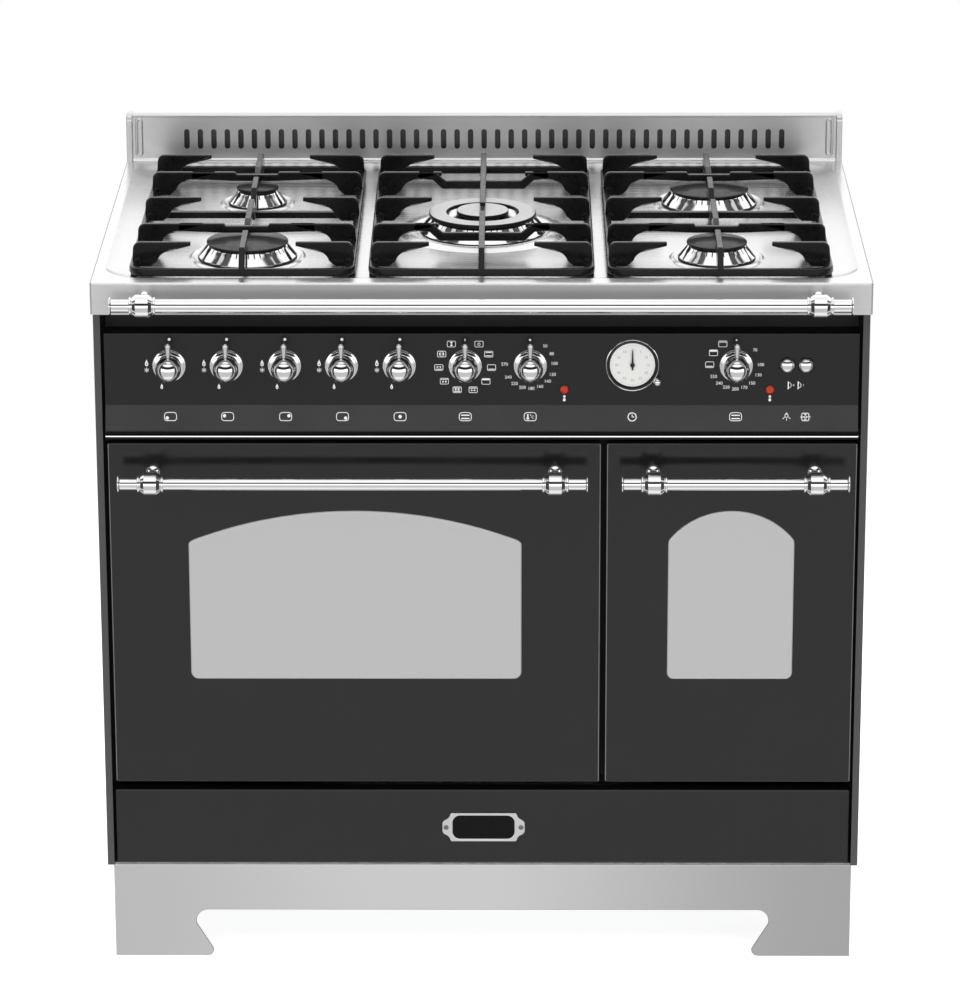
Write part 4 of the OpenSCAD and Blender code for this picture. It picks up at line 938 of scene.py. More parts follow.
def rail(x0, x1, y, z, d, wall):
    s = Solid()
    s.join(lathe(fillet([(0, x0 + 30), (d / 2, x0 + 30), (d / 2, x1 - 30), (0, x1 - 30)], 0.4, 2, closed=False), 48, (0, y, z), "x"))
    prof = fillet(COLLAR, 0.55, 3, closed=False)
    s.join(lathe(prof, 64, (x0 + 38, y, z), "-x"))
    s.join(lathe(prof, 64, (x1 - 38, y, z), "x"))
    for x in (x0 + 38, x1 - 38):
        L = wall - y
        # a plain neck that ends in a low dome at the wall
        p = [(0, 0), (5, 0), (5, L - 5.6), (5.2, L - 5.5), (6.2, L - 4.9), (7.2, L - 4.15), (8.0, L - 3.4), (8.5, L - 2.6), (8.7, L - 1.8), (8.7, L - 0.2), (8.5, L), (0, L)]
        s.join(lathe(p, 48, (x, y, z), "y"))
    return s


build("towel_rail_bar", rail(-425, 425, -310.5, 832.6, 16, -276), [mirror], "root", ["towel_rail"], angle=40)
build("left_handle_bar", rail(-421.4, 123.5, -299, 615, 15, FACE), [mirror], "left_door", ["left_door_handle"], angle=40)
build("right_handle_bar", rail(162, 426, -299, 615, 15, FACE), [mirror], "right_door", ["right_door_handle"], angle=40)

# ------------------------------------------------------------------ doors


def window(x0, x1, z0, zs, za, r):
    c, h = (x1 - x0) / 2, za - zs
    R = (c * c + h * h) / (2 * h)
    cx = (x0 + x1) / 2
    a = math.degrees(math.asin(c / R))

    def on(deg):
        return (cx + R * math.cos(rad(deg)), za - R + R * math.sin(rad(deg)))

    def bend(p, q, w, n):
        o = []
        for i in range(n + 1):
            t = i / n
            o.append(tuple((1 - t) ** 2 * p[k] + 2 * t * (1 - t) * q[k] + t * t * w[k] for k in (0, 1)))
        return o

    k = 90 - a + 2 * a / 48
    return dedupe(arc(x0 + r, z0 + r, r, 180, 270, 8) + arc(x1 - r, z0 + r, r, 270, 360, 8)
                  + bend((x1, zs - 4), (x1, zs), on(k), 6) + [on(90 - a + 2 * a * i / 48) for i in range(2, 47)]
                  + bend(on(180 - k), (x0, zs), (x0, zs - 4), 6))


def door(name, d, win, body):
    out = rr(d[0], 226, d[1], 650, 2.6, 5)
    s = pan(out, [win], FACE, 12, 1.5, 2.0, 4, 0.5)
    # the bottom fold is shallow, clear of the hinge brackets when the door is down
    s.v = [(x, y - 7, z) if y > FACE + 5 and z < 229 and d[0] + 2.4 < x < d[1] - 2.4 else (x, y, z) for x, y, z in s.v]
    # the left and right fold faces take the lighter enamel: painted highlight
    for i, vs in enumerate(s.f):
        xs, ys = [s.v[k][0] for k in vs], [s.v[k][1] for k in vs]
        if FACE + 0.5 < max(ys) < FACE + 1.3 and (max(xs) < d[0] + 1.6 or min(xs) > d[1] - 1.6):
            s.m[i] = 1
    build(name + "_skin", s, [front_enamel, edge_highlight_enamel], body, [name + "_panel"], angle=40)
    pane = plate(offset(win, 0.55), (), FACE + 0.15, FACE + 1.5, 0.45, 3)
    xs = [p[0] for p in win]
    back = plate(rr(min(xs) - 20, 340, max(xs) + 20, 585, 3, 4), (), FACE + 1.5, FACE + 5.5, 0.4, 2)
    s = Solid().join(pane, 0).join(back, 0)
    # the pane's edge walls (index 1) take the bright edge material: painted highlight
    for i, vs in enumerate(s.f):
        ys = [s.v[k][1] for k in vs]
        if max(ys) - min(ys) > 0.02 and max(ys) < FACE + 1.45:
            s.m[i] = 1
    build(name + "_window", s, [glass_silver, glass_edge_highlight], body, [name + "_glass"], angle=40)


WIN_L = window(-344, 46.5, 357, 529, 567, 9)
WIN_R = window(218.6, 366.3, 357, 530, 567, 8)
door("left_door", (-436, 139), WIN_L, "left_door")
door("right_door", (146, 437.5), WIN_R, "right_door")

# inner panes, seen when a door is open
for name, c, body in (("left_door", (-390, 90), "left_door"), ("right_door", (186, 400), "right_door")):
    g0, g1 = c[0] + 45.6, c[1] - 45.6
    s = plate(rr(g0, 320.6, g1, 584.4, 5, 5), (), -220.4, -219.3, 0.3, 2)
    build(name + "_inner_pane", s, [dark_glass], body)

# ------------------------------------------------------------------ drawer front and nameplate
s = pan(rr(-438, 122, 438, 216, 2.6, 5), [], FACE, 18, 1.5, 2.0, 4)
build("drawer_skin", s, [front_enamel], "drawer", ["drawer_front"], angle=40)


def nameplate():
    cx, cz = 1.5, 168.6
    q = [(0, 18), (38.5, 18)] + arc(48, 17.4, 8.2, 190, 262, 10) + arc(44.5, 4.5, 4.7, 80, 0, 8)
    h = q + [(u, -v) for u, v in q[::-1]]
    out = [(cx + u, cz + v) for u, v in h + [(-u, v) for u, v in h[::-1]]]
    out = dedupe(out)
    field = rr(cx - 36.8, cz - 14.9, cx + 36.8, cz + 14.9, 9, 10)
    s = Solid()
    s.join(plate(out, [field], FACE - 2, FACE + 0.1, 0.5, 3, rh=0.95), 0)
    s.join(plate(offset(field, -0.3), (), FACE - 1.1, FACE + 0.05, 0.0), 1)
    for sx in (-1, 1):
        x = cx + sx * 44.7
        z = cz
        # screw head with a slot, built as two half moons and a sunken bar
        for sg in (-1, 1):
            moon = [(x + 3 * math.cos(rad(a)), z + sg * 3 * math.sin(rad(a))) for a in [10 + 160 * i / 20 for i in range(21)]]
            s.join(plate(moon, (), FACE - 3.0, FACE - 1.2, 0.35, 3), 2)
        s.join(lathe([(0, -1.0), (3.0, -1.0), (3.0, 2.35), (0, 2.35)], 32, (x, FACE, z), "-y"), 2)
    return s


build("maker_plate_blank", nameplate(), [plate_silver, plate_field, screw_grey], "drawer", ["nameplate"], angle=35)

# ------------------------------------------------------------------ kick plate


def kick():
    w = 442.0
    half = [(-335, 0)] + arc(-332, 8, 8, 300, 375, 10) + arc(-330, 46, 14, 195, 90, 12)
    half = [(x, max(0.0, z)) for x, z in half]
    cut = dedupe(half + [(-x, z) for x, z in half[::-1]])
    out = [(-w, 0)] + cut + [(w, 0), (w, 119), (-w, 119)]
    s = plate(out, (), -252, -250.5, 0.55, 3)
    for i, vs in enumerate(s.f):
        ys, zs = [s.v[k][1] for k in vs], [s.v[k][2] for k in vs]
        # the top edge walls (index 2) get the painted highlight
        if max(ys) - min(ys) > 0.02 and min(zs) > 117.9:
            s.m[i] = 2
        # the other edge walls (index 1) get painted shade
        elif max(ys) - min(ys) > 0.02 and max(abs(s.v[k][0]) for k in vs) < 441:
            s.m[i] = 1
    for sx in (-1, 1):
        a, b = (w - 1.5, w) if sx > 0 else (-w, -w + 1.5)
        s.join(plate([(-251.5, 0), (-205, 0), (-205, 119), (-251.5, 119)], (), a, b, 0.4, 2, "yz"))
    s.join(plate([(-w + 0.5, -251.5), (w - 0.5, -251.5), (w - 0.5, -226), (-w + 0.5, -226)], (), 117.5, 119, 0.3, 2, "xy"))
    return s


build("kick_plate", kick(), [steel_kick_painted_light, steel_painted_shade, steel_painted_highlight], "root", ["plinth"], angle=40)

# ------------------------------------------------------------------ control panel
HOLES = [circle(x, KNOB_Z, 9.5, 40) for x in (*KNOBS.values(), K_FN, K_HT, K_SO)]
HOLES += [circle(174.8, 745.4, 29, 72), circle(203.6, 727.4, 2.4, 20), circle(96, 716, 5, 28), circle(334.4, 716, 5, 28), circle(354, 745, 9.55, 48), circle(375.8, 745, 9.55, 48)]


def panel():
    s = Solid()
    t = 1.5
    outer = [(-240, 666), (-262, 666), (FACE, 696.6), (FACE, 783.5), (-227.5, 783.5), (-227.5, 840.5), (-226, 840.5), (-226, 782), (FACE + t, 782), (FACE + t, 696.4), (-260.06, 667.5), (-240, 667.5)]
    p = fillet(outer, 1.6, 5)
    # the profile's long front and inner faces are filled with holes, the rest is extruded
    x0, x1 = -437.0, 437.0
    m = len(p)
    verts = [(x0, y, z) for y, z in p] + [(x1, y, z) for y, z in p]
    faces, mats = [], []
    front = inner = None
    for i in range(m):
        j = (i + 1) % m
        if abs(p[i][0] - FACE) < 0.01 and abs(p[j][0] - FACE) < 0.01 and abs(p[i][1] - p[j][1]) > 40:
            front = (i, j)
        elif abs(p[i][0] - FACE - t) < 0.01 and abs(p[j][0] - FACE - t) < 0.01 and abs(p[i][1] - p[j][1]) > 40:
            inner = (i, j)
        else:
            faces.append((i, j, m + j, m + i))
            hidden = min(p[i][0], p[j][0]) > -250 or min(p[i][1], p[j][1]) > 783.4
            mats.append(1 if hidden else 0)
    hs = [h[::-1] for h in HOLES]
    ring_ids = []
    for h in hs:
        k = len(h)
        a = len(verts)
        for d, y in ((0.3, FACE), (0, FACE + 0.3), (0, FACE + t)):
            verts += [(u, y, v) for u, v in (offset(h, d) if d else h)]
        faces += strip(a, a + k, k) + strip(a + k, a + 2 * k, k)
        ring_ids.append((list(range(a, a + k)), list(range(a + 2 * k, a + 3 * k)), offset(h, 0.3), h))
    for pair, which, col in ((front, 0, 2), (inner, 1, 3)):
        i, j = pair
        rect = [(x0, p[i][1]), (x1, p[i][1]), (x1, p[j][1]), (x0, p[j][1])]
        ids = [i, m + i, m + j, j] + [q for r in ring_ids for q in r[which]]
        if area(rect) < 0:
            rect, ids = rect[::-1], ids[:4][::-1] + ids[4:]
        faces += [tuple(ids[q] for q in tr) for tr in fill(rect, [r[col] for r in ring_ids])]
    for base in (0, m):
        faces += [tuple(base + q for q in tr) for tr in fill(p)]
    return s.add(verts, faces, mats + [0] * (len(faces) - len(mats)))


build("control_fascia", panel(), [panel_enamel, frame_enamel], "root", ["control_panel"], angle=40)

prof = fillet([(-254, 657.4), (-252.2, 657.1), (-252.2, 659.3), (-253.5, 659.0)], 0.25, 3)
s = plate(prof, (), -438, 438, 0.3, 2, "yz")
s.join(plate([(-252.6, 657.4), (-246.2, 657.2), (-246.2, 659.0), (-252.6, 659.0)], (), -437.8, 437.8, 0.2, 2, "yz"), 1)
s.join(plate([(-247.5, 655.5), (-246, 655.5), (-246, 661), (-247.5, 661)], (), -438, 438, 0.2, 2, "yz"), 1)
build("trim_bead", s, [mirror, frame_enamel], "root", ["trim_strip"], angle=40)

# ------------------------------------------------------------------ knobs
BEZEL = [(13.2, 0), (19.5, 0), (19.5, 1.1), (18.9, 1.8), (17.6, 2.35), (17.4, 2.3), (17.2, 2.75), (15.8, 3.5), (14.6, 3.95), (13.2, 4.0)]
s = Solid()
for x in (*KNOBS.values(), K_FN, K_HT, K_SO):
    s.join(lathe(fillet(BEZEL, 0.5, 4), 128, (x, FACE, KNOB_Z), "-y", closed=True))
build("knob_bezel_set", s, [mirror], "root", ["knob_bezels"], angle=32)


def knob_shape(x, spindle):
    s = Solid()
    by, R = FACE - 17, 15.0
    # ball with its flat seat at the back
    cut = 14.0
    a0 = math.degrees(math.acos(cut / R))
    prof = [(0, -cut), (math.sqrt(R * R - cut * cut) - 0.4, -cut)] + [(R * math.sin(rad(a)), -R * math.cos(rad(a))) for a in [a0 + 2 + (178 - a0) * i / 40 for i in range(40)]] + [(0, R)]
    s.join(lathe(prof, 72, (x, by, KNOB_Z), "-y"))
    lever = [(0, 11), (2.3, 11), (2.3, 15.2), (2.7, 18), (3.9, 28.1)] + arc(0, 28.1, 3.9, 0, 90, 10)[1:]
    s.join(lathe(lever, 40, (x, by, KNOB_Z), "z"))
    # small fillet collar where the lever leaves the ball
    s.join(lathe(fillet([(0, 13.2), (3.9, 13.2), (3.1, 15.4), (0, 15.6)], 0.5, 3, closed=False), 40, (x, by, KNOB_Z), "z"))
    if spindle:
        s.join(lathe(fillet([(0, -17), (4, -17), (4, -52), (0, -52)], 0.4, 2, closed=False), 32, (x, by, KNOB_Z), "-y"))
    return s


for k, x in KNOBS.items():
    build(k + "_tap_handle", knob_shape(x, False), [mirror], k + "_control", [k + "_knob"], angle=40)
for k, x, body in (("oven_function", K_FN, "oven_function"), ("oven_heat", K_HT, "oven_heat"), ("small_oven", K_SO, "small_oven")):
    build(k + "_handle", knob_shape(x, True), [mirror], body, [k + "_knob"], angle=40)

# ------------------------------------------------------------------ timer
TX, TZ = 174.8, 745.4
s = Solid()
s.join(lathe(fillet([(29.8, -1), (29.8, 2.5), (30.3, 2.9), (30.9, 2.5), (31.3, 1.4), (31.3, 0), (30.4, 0), (30.4, -1)], 0.25, 4), 128, (TX, FACE, TZ), "-y", 0, closed=True))
s.join(lathe(fillet([(27.2, -1), (27.4, 1.2), (28.4, 2.3), (29.85, 2.6), (29.85, 0.2), (28.8, 0.2), (28.8, -1)], 0.3, 3), 128, (TX, FACE, TZ), "-y", 1, closed=True))
s.join(lathe([(0, -8), (28.9, -8), (28.9, -1.2), (27.9, -0.7), (26.9, -0.1), (26.6, 0.1), (26.3, 0.1), (26.3, -0.2), (0, -0.2)], 128, (TX, FACE, TZ), "-y", 1))
s.join(lathe(fillet([(0, -0.3), (26.2, -0.3), (26.2, 0.25), (0, 0.25)], 0.2, 2, closed=False), 96, (TX, FACE, TZ), "-y", 2))
s.join(plate(rr(145, 716, 216, 775, 3, 4), (), -250, -212, 0.6, 2), 1)
s.join(lathe(fillet([(0, -1.4), (6, -1.4), (6, -5), (0, -5)], 0.3, 2, closed=False), 32, (203.6, FACE, 727.4), "-y"), 1)
build("timer_case", s, [mirror, dial_black, dial_face], "root", ["timer_body"], angle=35)

s = plate(fillet([(TX - 0.9, TZ - 6), (TX + 0.9, TZ - 6), (TX + 1.15, TZ), (TX + 0.6, TZ + 16), (TX, TZ + 19.5), (TX - 0.6, TZ + 16), (TX - 1.15, TZ)], 0.3, 2), (), FACE - 2.0, FACE - 1.2, 0.2, 2)
s.join(lathe(fillet([(0, -26), (1.5, -26), (1.5, 0.9), (2.75, 1.0), (2.75, 2.1), (0, 2.4)], 0.25, 3, closed=False), 32, (TX, FACE, TZ), "-y"))
build("timer_pointer", s, [hand_black], "timer_pointer", ["timer_hand"], angle=35)
s = lathe(fillet([(0, -26), (2, -26), (2, 5.0), (0, 5.0)], 0.2, 2, closed=False), 24, (203.6, FACE, 727.4), "-y")
s.join(lathe(fillet([(0, 0.5), (2.25, 0.5), (2.25, 2.3), (0, 2.3)], 0.2, 2, closed=False), 24, (203.6, FACE, 727.4), "-y"))
s.join(lathe([(0, -4.75)] + [(4.75 * math.cos(rad(a)), 4.75 * math.sin(rad(a))) for a in range(-80, 81, 8)] + [(0, 4.75)], 40, (203.6, FACE - 9.6, 727.4), "-y"))
build("timer_set_knob", s, [mirror], "timer_set", ["timer_knob"], angle=40)

# ------------------------------------------------------------------ lamps and buttons
s = Solid()
for x in (96, 334.4):
    dome = [(0, -18), (4, -18), (4, -5.2), (7, -5.2), (7, -1.5), (4.8, -1.5), (4.8, 1.0)] + [(4.8 * math.cos(rad(15 * i)), 1.0 + 1.9 * math.sin(rad(15 * i))) for i in range(1, 7)]
    dome[-1] = (0, 2.9)
    s.join(lathe(dome, 40, (x, FACE, 716), "-y", 0))
    s.join(lathe(fillet([(4.75, -1.2), (5.0, -1.2), (5.0, 0.2), (5.6, 0.25), (5.5, 0.7), (4.75, 0.75)], 0.12, 2), 48, (x, FACE, 716), "-y", 1, closed=True))
build("indicator_lens_set", s, [red, frame_enamel], "root", ["indicator_lamps"], angle=40)
for nm, x, body in (("lamp_button", 354, "lamp_switch"), ("spit_button", 375.8, "spit_switch")):
    prof = [(0, -4.5), (8.8, -4.5), (8.8, 0.7)] + [(8.8 * math.cos(rad(7.5 * i)), 0.7 + 5.9 * math.sin(rad(7.5 * i))) for i in range(1, 12)] + [(0, 6.6)]
    s = lathe(prof, 64, (x, FACE, 745), "-y")
    s.join(lathe(fillet([(0, -34), (3, -34), (3, -4), (0, -4)], 0.3, 2, closed=False), 24, (x, FACE, 745), "-y"))
    build(nm + "_cap", s, [mirror], body, [nm], angle=35)

# ------------------------------------------------------------------ printed marks on the panel


def text(body, size):
    """Flat outline text as triangles centred on the origin, in millimetres."""
    cu = bpy.data.curves.new("t", "FONT")
    cu.body = body
    cu.size = size
    cu.align_x, cu.align_y = "CENTER", "CENTER"
    cu.resolution_u = 3
    cu.fill_mode = "FRONT"
    o = bpy.data.objects.new("t", cu)
    bpy.context.scene.collection.objects.link(o)
    dg = bpy.context.evaluated_depsgraph_get()
    me = bpy.data.meshes.new_from_object(o.evaluated_get(dg))
    v = [(p.co.x, p.co.y) for p in me.vertices]
    f = [tuple(p.vertices) for p in me.polygons]
    bpy.data.objects.remove(o)
    bpy.data.curves.remove(cu)
    bpy.data.meshes.remove(me)
    xs, ys = [p[0] for p in v], [p[1] for p in v]
    cx, cy = (min(xs) + max(xs)) / 2, (min(ys) + max(ys)) / 2
    return [(x - cx, y - cy) for x, y in v], f


MARKS = Solid()
BAND = Vector((0, -8.0, -30.6)).normalized()  # down along the tilted lower band
BAND_N = Vector((0, -30.6, 8.0)).normalized()


def on_face(u, v, w):
    return (u, FACE - 0.05 + w, v)


def on_band(u, v, w):
    """v is the distance up from the band's foot line, along the tilt."""
    p = Vector((u, -262, 666)) - BAND * v - BAND_N * (w - 0.05)
    return tuple(p)


def mark(outline, holes=(), place=on_face):
    MARKS.join(plate(outline, holes, -0.07, 0.03, 0.0, place=place))


def letters(body, x, z, size=4.6, place=on_face, into=None, turn=0.0):
    v, f = text(body, size)
    ca, sa = math.cos(turn), math.sin(turn)
    v = [(a * ca - b * sa, a * sa + b * ca) for a, b in v]
    # outline edges get walls so the print is a closed body
    verts = [place(x + a, z + b, -0.07) for a, b in v] + [place(x + a, z + b, 0.03) for a, b in v]
    n = len(v)
    faces = [tuple(q) for q in f] + [tuple(n + i for i in q[::-1]) for q in f]
    seen = {}
    for q in f:
        for i in range(len(q)):
            a, b = q[i], q[(i + 1) % len(q)]
            seen[(a, b)] = 1
    for a, b in seen:
        if (b, a) not in seen:
            faces.append((a, b, n + b, n + a))
    (into or MARKS).add(verts, faces)


def line_ring(x, z, w, h, r, t, place=on_face):
    mark(rr(x - w / 2, z - h / 2, x + w / 2, z + h / 2, r, 5), [rr(x - w / 2 + t, z - h / 2 + t, x + w / 2 - t, z + h / 2 - t, max(0.2, r - t), 5)], place)


def hob_ring(x, z, w=14.8, h=9.8, r=3.2, t=0.85, arch=0.6):
    """Rounded outline with a slightly arched top."""
    def bow(loop, cx, hw_):
        out = []
        for i, q in enumerate(loop):
            a = loop[i - 1]
            n = 6 if math.dist(a, q) > 4 else 1
            out += [(a[0] + (q[0] - a[0]) * k / n, a[1] + (q[1] - a[1]) * k / n) for k in range(1, n + 1)]
        return [(u, v + (arch * (1 - ((u - cx) / hw_) ** 2) if v > z else 0)) for u, v in out]
    mark(bow(rr(x - w / 2, z - h / 2, x + w / 2, z + h / 2, r, 5), x, w / 2),
         [bow(rr(x - w / 2 + t, z - h / 2 + t, x + w / 2 - t, z + h / 2 - t, r - t, 5), x, w / 2)], on_band)


def bar(x0, z0, x1, z1, place=on_face):
    mark([(x0, z0), (x1, z0), (x1, z1), (x0, z1)], (), place)


def dot(x, z, r, place=on_face):
    mark(circle(x, z, r, 20), (), place)


def flame(x, z, w, h, hole=True):
    out = []
    for i in range(24):
        a = 2 * math.pi * i / 24
        y = -math.cos(a)
        k = math.sin(a) * (0.5 * (1 - y) ** 0.75 + 0.04 * (1 - y))
        out.append((x + k * w * 0.62, z + y * h / 2))
    out = [p for p in out]
    holes = [circle(x, z - h * 0.2, w * 0.17, 12)] if hole else []
    mark(dedupe(out), holes)


def star(x, z, r):
    for k in range(3):
        a = rad(60 * k + 90)
        c, s_ = math.cos(a), math.sin(a)
        q = 0.38
        mark([(x + c * r - s_ * q, z + s_ * r + c * q), (x - c * r - s_ * q, z - s_ * r + c * q), (x - c * r + s_ * q, z - s_ * r - c * q), (x + c * r + s_ * q, z + s_ * r - c * q)])


for x in KNOBS.values():
    dot(x + 0.8, KNOB_Z + 31.6, 1.75)
    flame(x - 26, KNOB_Z + 3.4, 5.0, 8.2)
    star(x - 26, KNOB_Z - 5.4, 2.9)
    flame(x - 9.0, KNOB_Z - 25.0, 3.9, 6.6)

# rounded hob outlines with the burner's dot, on the lower band
BV = 18.0
for x, dx, dz in [(KNOBS["front_left"], -4.0, -1.4), (KNOBS["rear_left"], -3.9, 1.2), (KNOBS["rear_right"], 4.0, 1.2), (KNOBS["front_right"], 3.8, -1.5), (KNOBS["centre"], 0, 0.2)]:
    x += 0.6
    hob_ring(x, BV)
    dot(x + dx * 0.95, BV + dz, 2.0, on_band)
for x in (K_FN, K_SO):
    hob_ring(x, BV)
    bar(x - 4.9, BV + 1.2, x + 4.9, BV + 2.6, on_band)
    bar(x - 4.9, BV - 2.6, x + 4.9, BV - 1.2, on_band)
hob_ring(K_HT, BV)


def thermometer(x, v, h, place):
    r = h * 0.24
    mark(circle(x, v - h / 2 + r, r, 16), (), place)
    mark(rr(x - r * 0.5, v - h / 2 + r * 1.6, x + r * 0.5, v + h / 2, r * 0.45, 4), (), place)


thermometer(K_HT - 2.8, BV, 6.6, on_band)
letters("C", K_HT + 2.9, BV - 0.2, 4.6, on_band)
mark(circle(K_HT + 0.3, BV + 2.0, 0.75, 12), [circle(K_HT + 0.3, BV + 2.0, 0.35, 10)], on_band)
mark(circle(TX, BV, 5.3, 40), [circle(TX, BV, 4.2, 36)], on_band)
bar(TX - 0.45, BV - 0.45, TX + 0.45, BV + 3.2, on_band)
bar(TX, BV - 0.45, TX + 2.4, BV + 0.45, on_band)
# lamp and spit symbols
x = 354.0
mark(circle(x, BV + 1.4, 2.3, 24), [circle(x, BV + 1.4, 1.5, 20)], on_band)
bar(x - 0.9, BV + 3.6, x + 0.9, BV + 4.9, on_band)
for a in (-52, 0, 52):
    c, s_ = math.sin(rad(a)), -math.cos(rad(a))
    p, q = (x + c * 3.0, BV + 1.4 + s_ * 3.0), (x + c * 5.6, BV + 1.4 + s_ * 5.6)
    nx, nz = -s_ * 0.42, c * 0.42
    mark([(p[0] - nx, p[1] - nz), (q[0] - nx, q[1] - nz), (q[0] + nx, q[1] + nz), (p[0] + nx, p[1] + nz)], (), on_band)
x = 375.8
line_ring(x, BV, 9.2, 9.6, 2.2, 0.9, on_band)
bar(x - 6.0, BV - 0.45, x - 1.8, BV + 0.45, on_band)
bar(x + 1.8, BV - 0.45, x + 6.0, BV + 0.45, on_band)
mark(circle(x, BV, 1.7, 20), [circle(x, BV, 0.9, 16)], on_band)
for s_ in (-1, 1):
    bar(x - 1.6, BV + s_ * 3.0 - 0.4, x + 1.6, BV + s_ * 3.0 + 0.4, on_band)

# indicator symbols under the red lamps
for x in (96, 334.4):
    thermometer(x, 704.8, 7.0, on_face)
    mark(circle(x, 707.2, 1.5, 16), [circle(x, 707.2, 0.9, 14)])


def at_clock(x, r, deg):
    return x + r * math.sin(rad(deg)), KNOB_Z + r * math.cos(rad(deg))


for deg, w, r in [(35.8, "50", 29.4), (59.7, "80", 28.8), (84.3, "100", 28.4), (111.8, "120", 28.2), (132.3, "140", 27.8), (155.2, "160", 27.6), (177, "180", 27.6), (199, "200", 27.8), (220.2, "220", 28.2), (241.6, "240", 29.0), (273.5, "270", 29.8)]:
    letters(w, *at_clock(K_HT, r, deg), 5.4)
dot(K_HT - 0.4, KNOB_Z + 31, 1.3)
for deg, w, r in [(48.4, "70", 28.8), (87.2, "100", 28.8), (113, "130", 28.4), (138, "150", 28.2), (159.3, "170", 28.0), (181.3, "200", 28.2), (203.5, "220", 28.2), (222.7, "240", 28.6), (243.6, "250", 29.0)]:
    letters(w, *at_clock(K_SO, r, deg), 5.4)
mark([(K_SO - 1.3, KNOB_Z + 30.2), (K_SO + 1.3, KNOB_Z + 30.2), (K_SO, KNOB_Z + 32.6)])
letters("0", K_FN, KNOB_Z + 31.2, 4.4)


def oven_icon(x, z, kind):
    w, h, t = 10.2, 7.6, 0.62
    line_ring(x, z, w, h, 1.5, t)
    top, bot = z + h / 2, z - h / 2
    if kind in ("top", "both", "topfan", "bothfan"):
        bar(x - 3.7, top - 2.3, x + 3.7, top - 1.3)
    if kind in ("bottom", "both", "bothfan", "fanbottom"):
        bar(x - 3.7, bot + 1.3, x + 3.7, bot + 2.3)
    if kind == "thick":
        bar(x - 4.2, top - 2.5, x + 4.2, top - 0.6)
    if kind in ("grill", "grillfan"):
        for i in range(4):
            a = x - 3.0 + i * 2.0
            mark([(a - 0.95, top - 1.2), (a + 0.95, top - 1.2), (a, top - 2.8)])
    if kind in ("topfan", "bothfan", "grillfan", "fanbottom", "fan", "defrost"):
        c = z - (0.7 if kind in ("topfan", "grillfan") else 0.0) + (0.7 if kind == "fanbottom" else 0.0)
        if kind == "fan":
            mark(circle(x, z, 2.9, 24), [circle(x, z, 2.4, 20)])
        if kind == "defrost":
            mark(circle(x, z - 0.4, 1.7, 20), [circle(x, z - 0.4, 1.15, 16)])
            bar(x - 0.25, z + 1.3, x + 0.25, z + 2.4)
        else:
            for sx in (-1, 1):
                mark([(x + sx * 0.2, c), (x + sx * 2.2, c + 1.2), (x + sx * 2.6, c), (x + sx * 2.2, c - 1.2)])
    if kind == "column":
        mark([(x - 1.8, top - 1.3), (x + 1.8, top - 1.3), (x + 0.35, z), (x + 1.8, bot + 1.3), (x - 1.8, bot + 1.3), (x - 0.35, z)])


for deg, kind in [(31.6, "defrost"), (62.9, "both"), (94.3, "bottom"), (128.4, "thick"), (162.6, "topfan"), (197.8, "bothfan"), (232.2, "grillfan"), (265.7, "fanbottom"), (297.4, "fan"), (328.7, "column")]:
    oven_icon(*at_clock(K_FN, 30.6, deg), kind)
for deg, kind in [(329, "grill"), (300.5, "thick"), (272.3, "bottom")]:
    oven_icon(*at_clock(K_SO, 30.8, deg), kind)
# button marks
for x0, ch in ((356.6, "0"), (368.0, "I")):
    z = KNOB_Z - 23.6
    bar(x0 - 1.6, z - 5, x0 - 0.9, z + 5)
    mark([(x0 - 0.9, z + 4.4)] + arc(x0 - 0.9, z, 3.6, 80, -80, 10) + [(x0 - 0.9, z - 4.4)], [[(x0 - 0.4, z + 3.0)] + arc(x0 - 0.9, z, 3.05, 78, -78, 8) + [(x0 - 0.4, z - 3.0)]])
    letters(ch, x0 + 5.2, z, 3.6)

build("panel_print", MARKS, [paint], "root", angle=30, weighted=False, merge=False, smooth=False)

# dial print
DIAL = Solid()


def on_dial(u, v, w):
    return (u, FACE - 0.25 + w, v)


for i in range(12):
    a = rad(30 * i)
    x, z = TX + 18.4 * math.sin(a), TZ + 18.4 * math.cos(a)
    letters(str(i * 5), x, z, 4.4, on_dial, DIAL)
for i in range(60):
    a = rad(6 * i)
    r0, r1, q = (22.6 if i % 5 == 0 else 23.4), 24.6, (0.16 if i % 5 == 0 else 0.09)
    c, s_ = math.sin(a), math.cos(a)
    DIAL.join(plate([(TX + c * r0 - s_ * q, TZ + s_ * r0 + c * q), (TX + c * r1 - s_ * q, TZ + s_ * r1 + c * q), (TX + c * r1 + s_ * q, TZ + s_ * r1 - c * q), (TX + c * r0 + s_ * q, TZ + s_ * r0 - c * q)], (), -0.06, 0.03, 0.0, place=on_dial))
build("dial_print", DIAL, [dial_ink], "root", angle=30, weighted=False, merge=False, smooth=False)

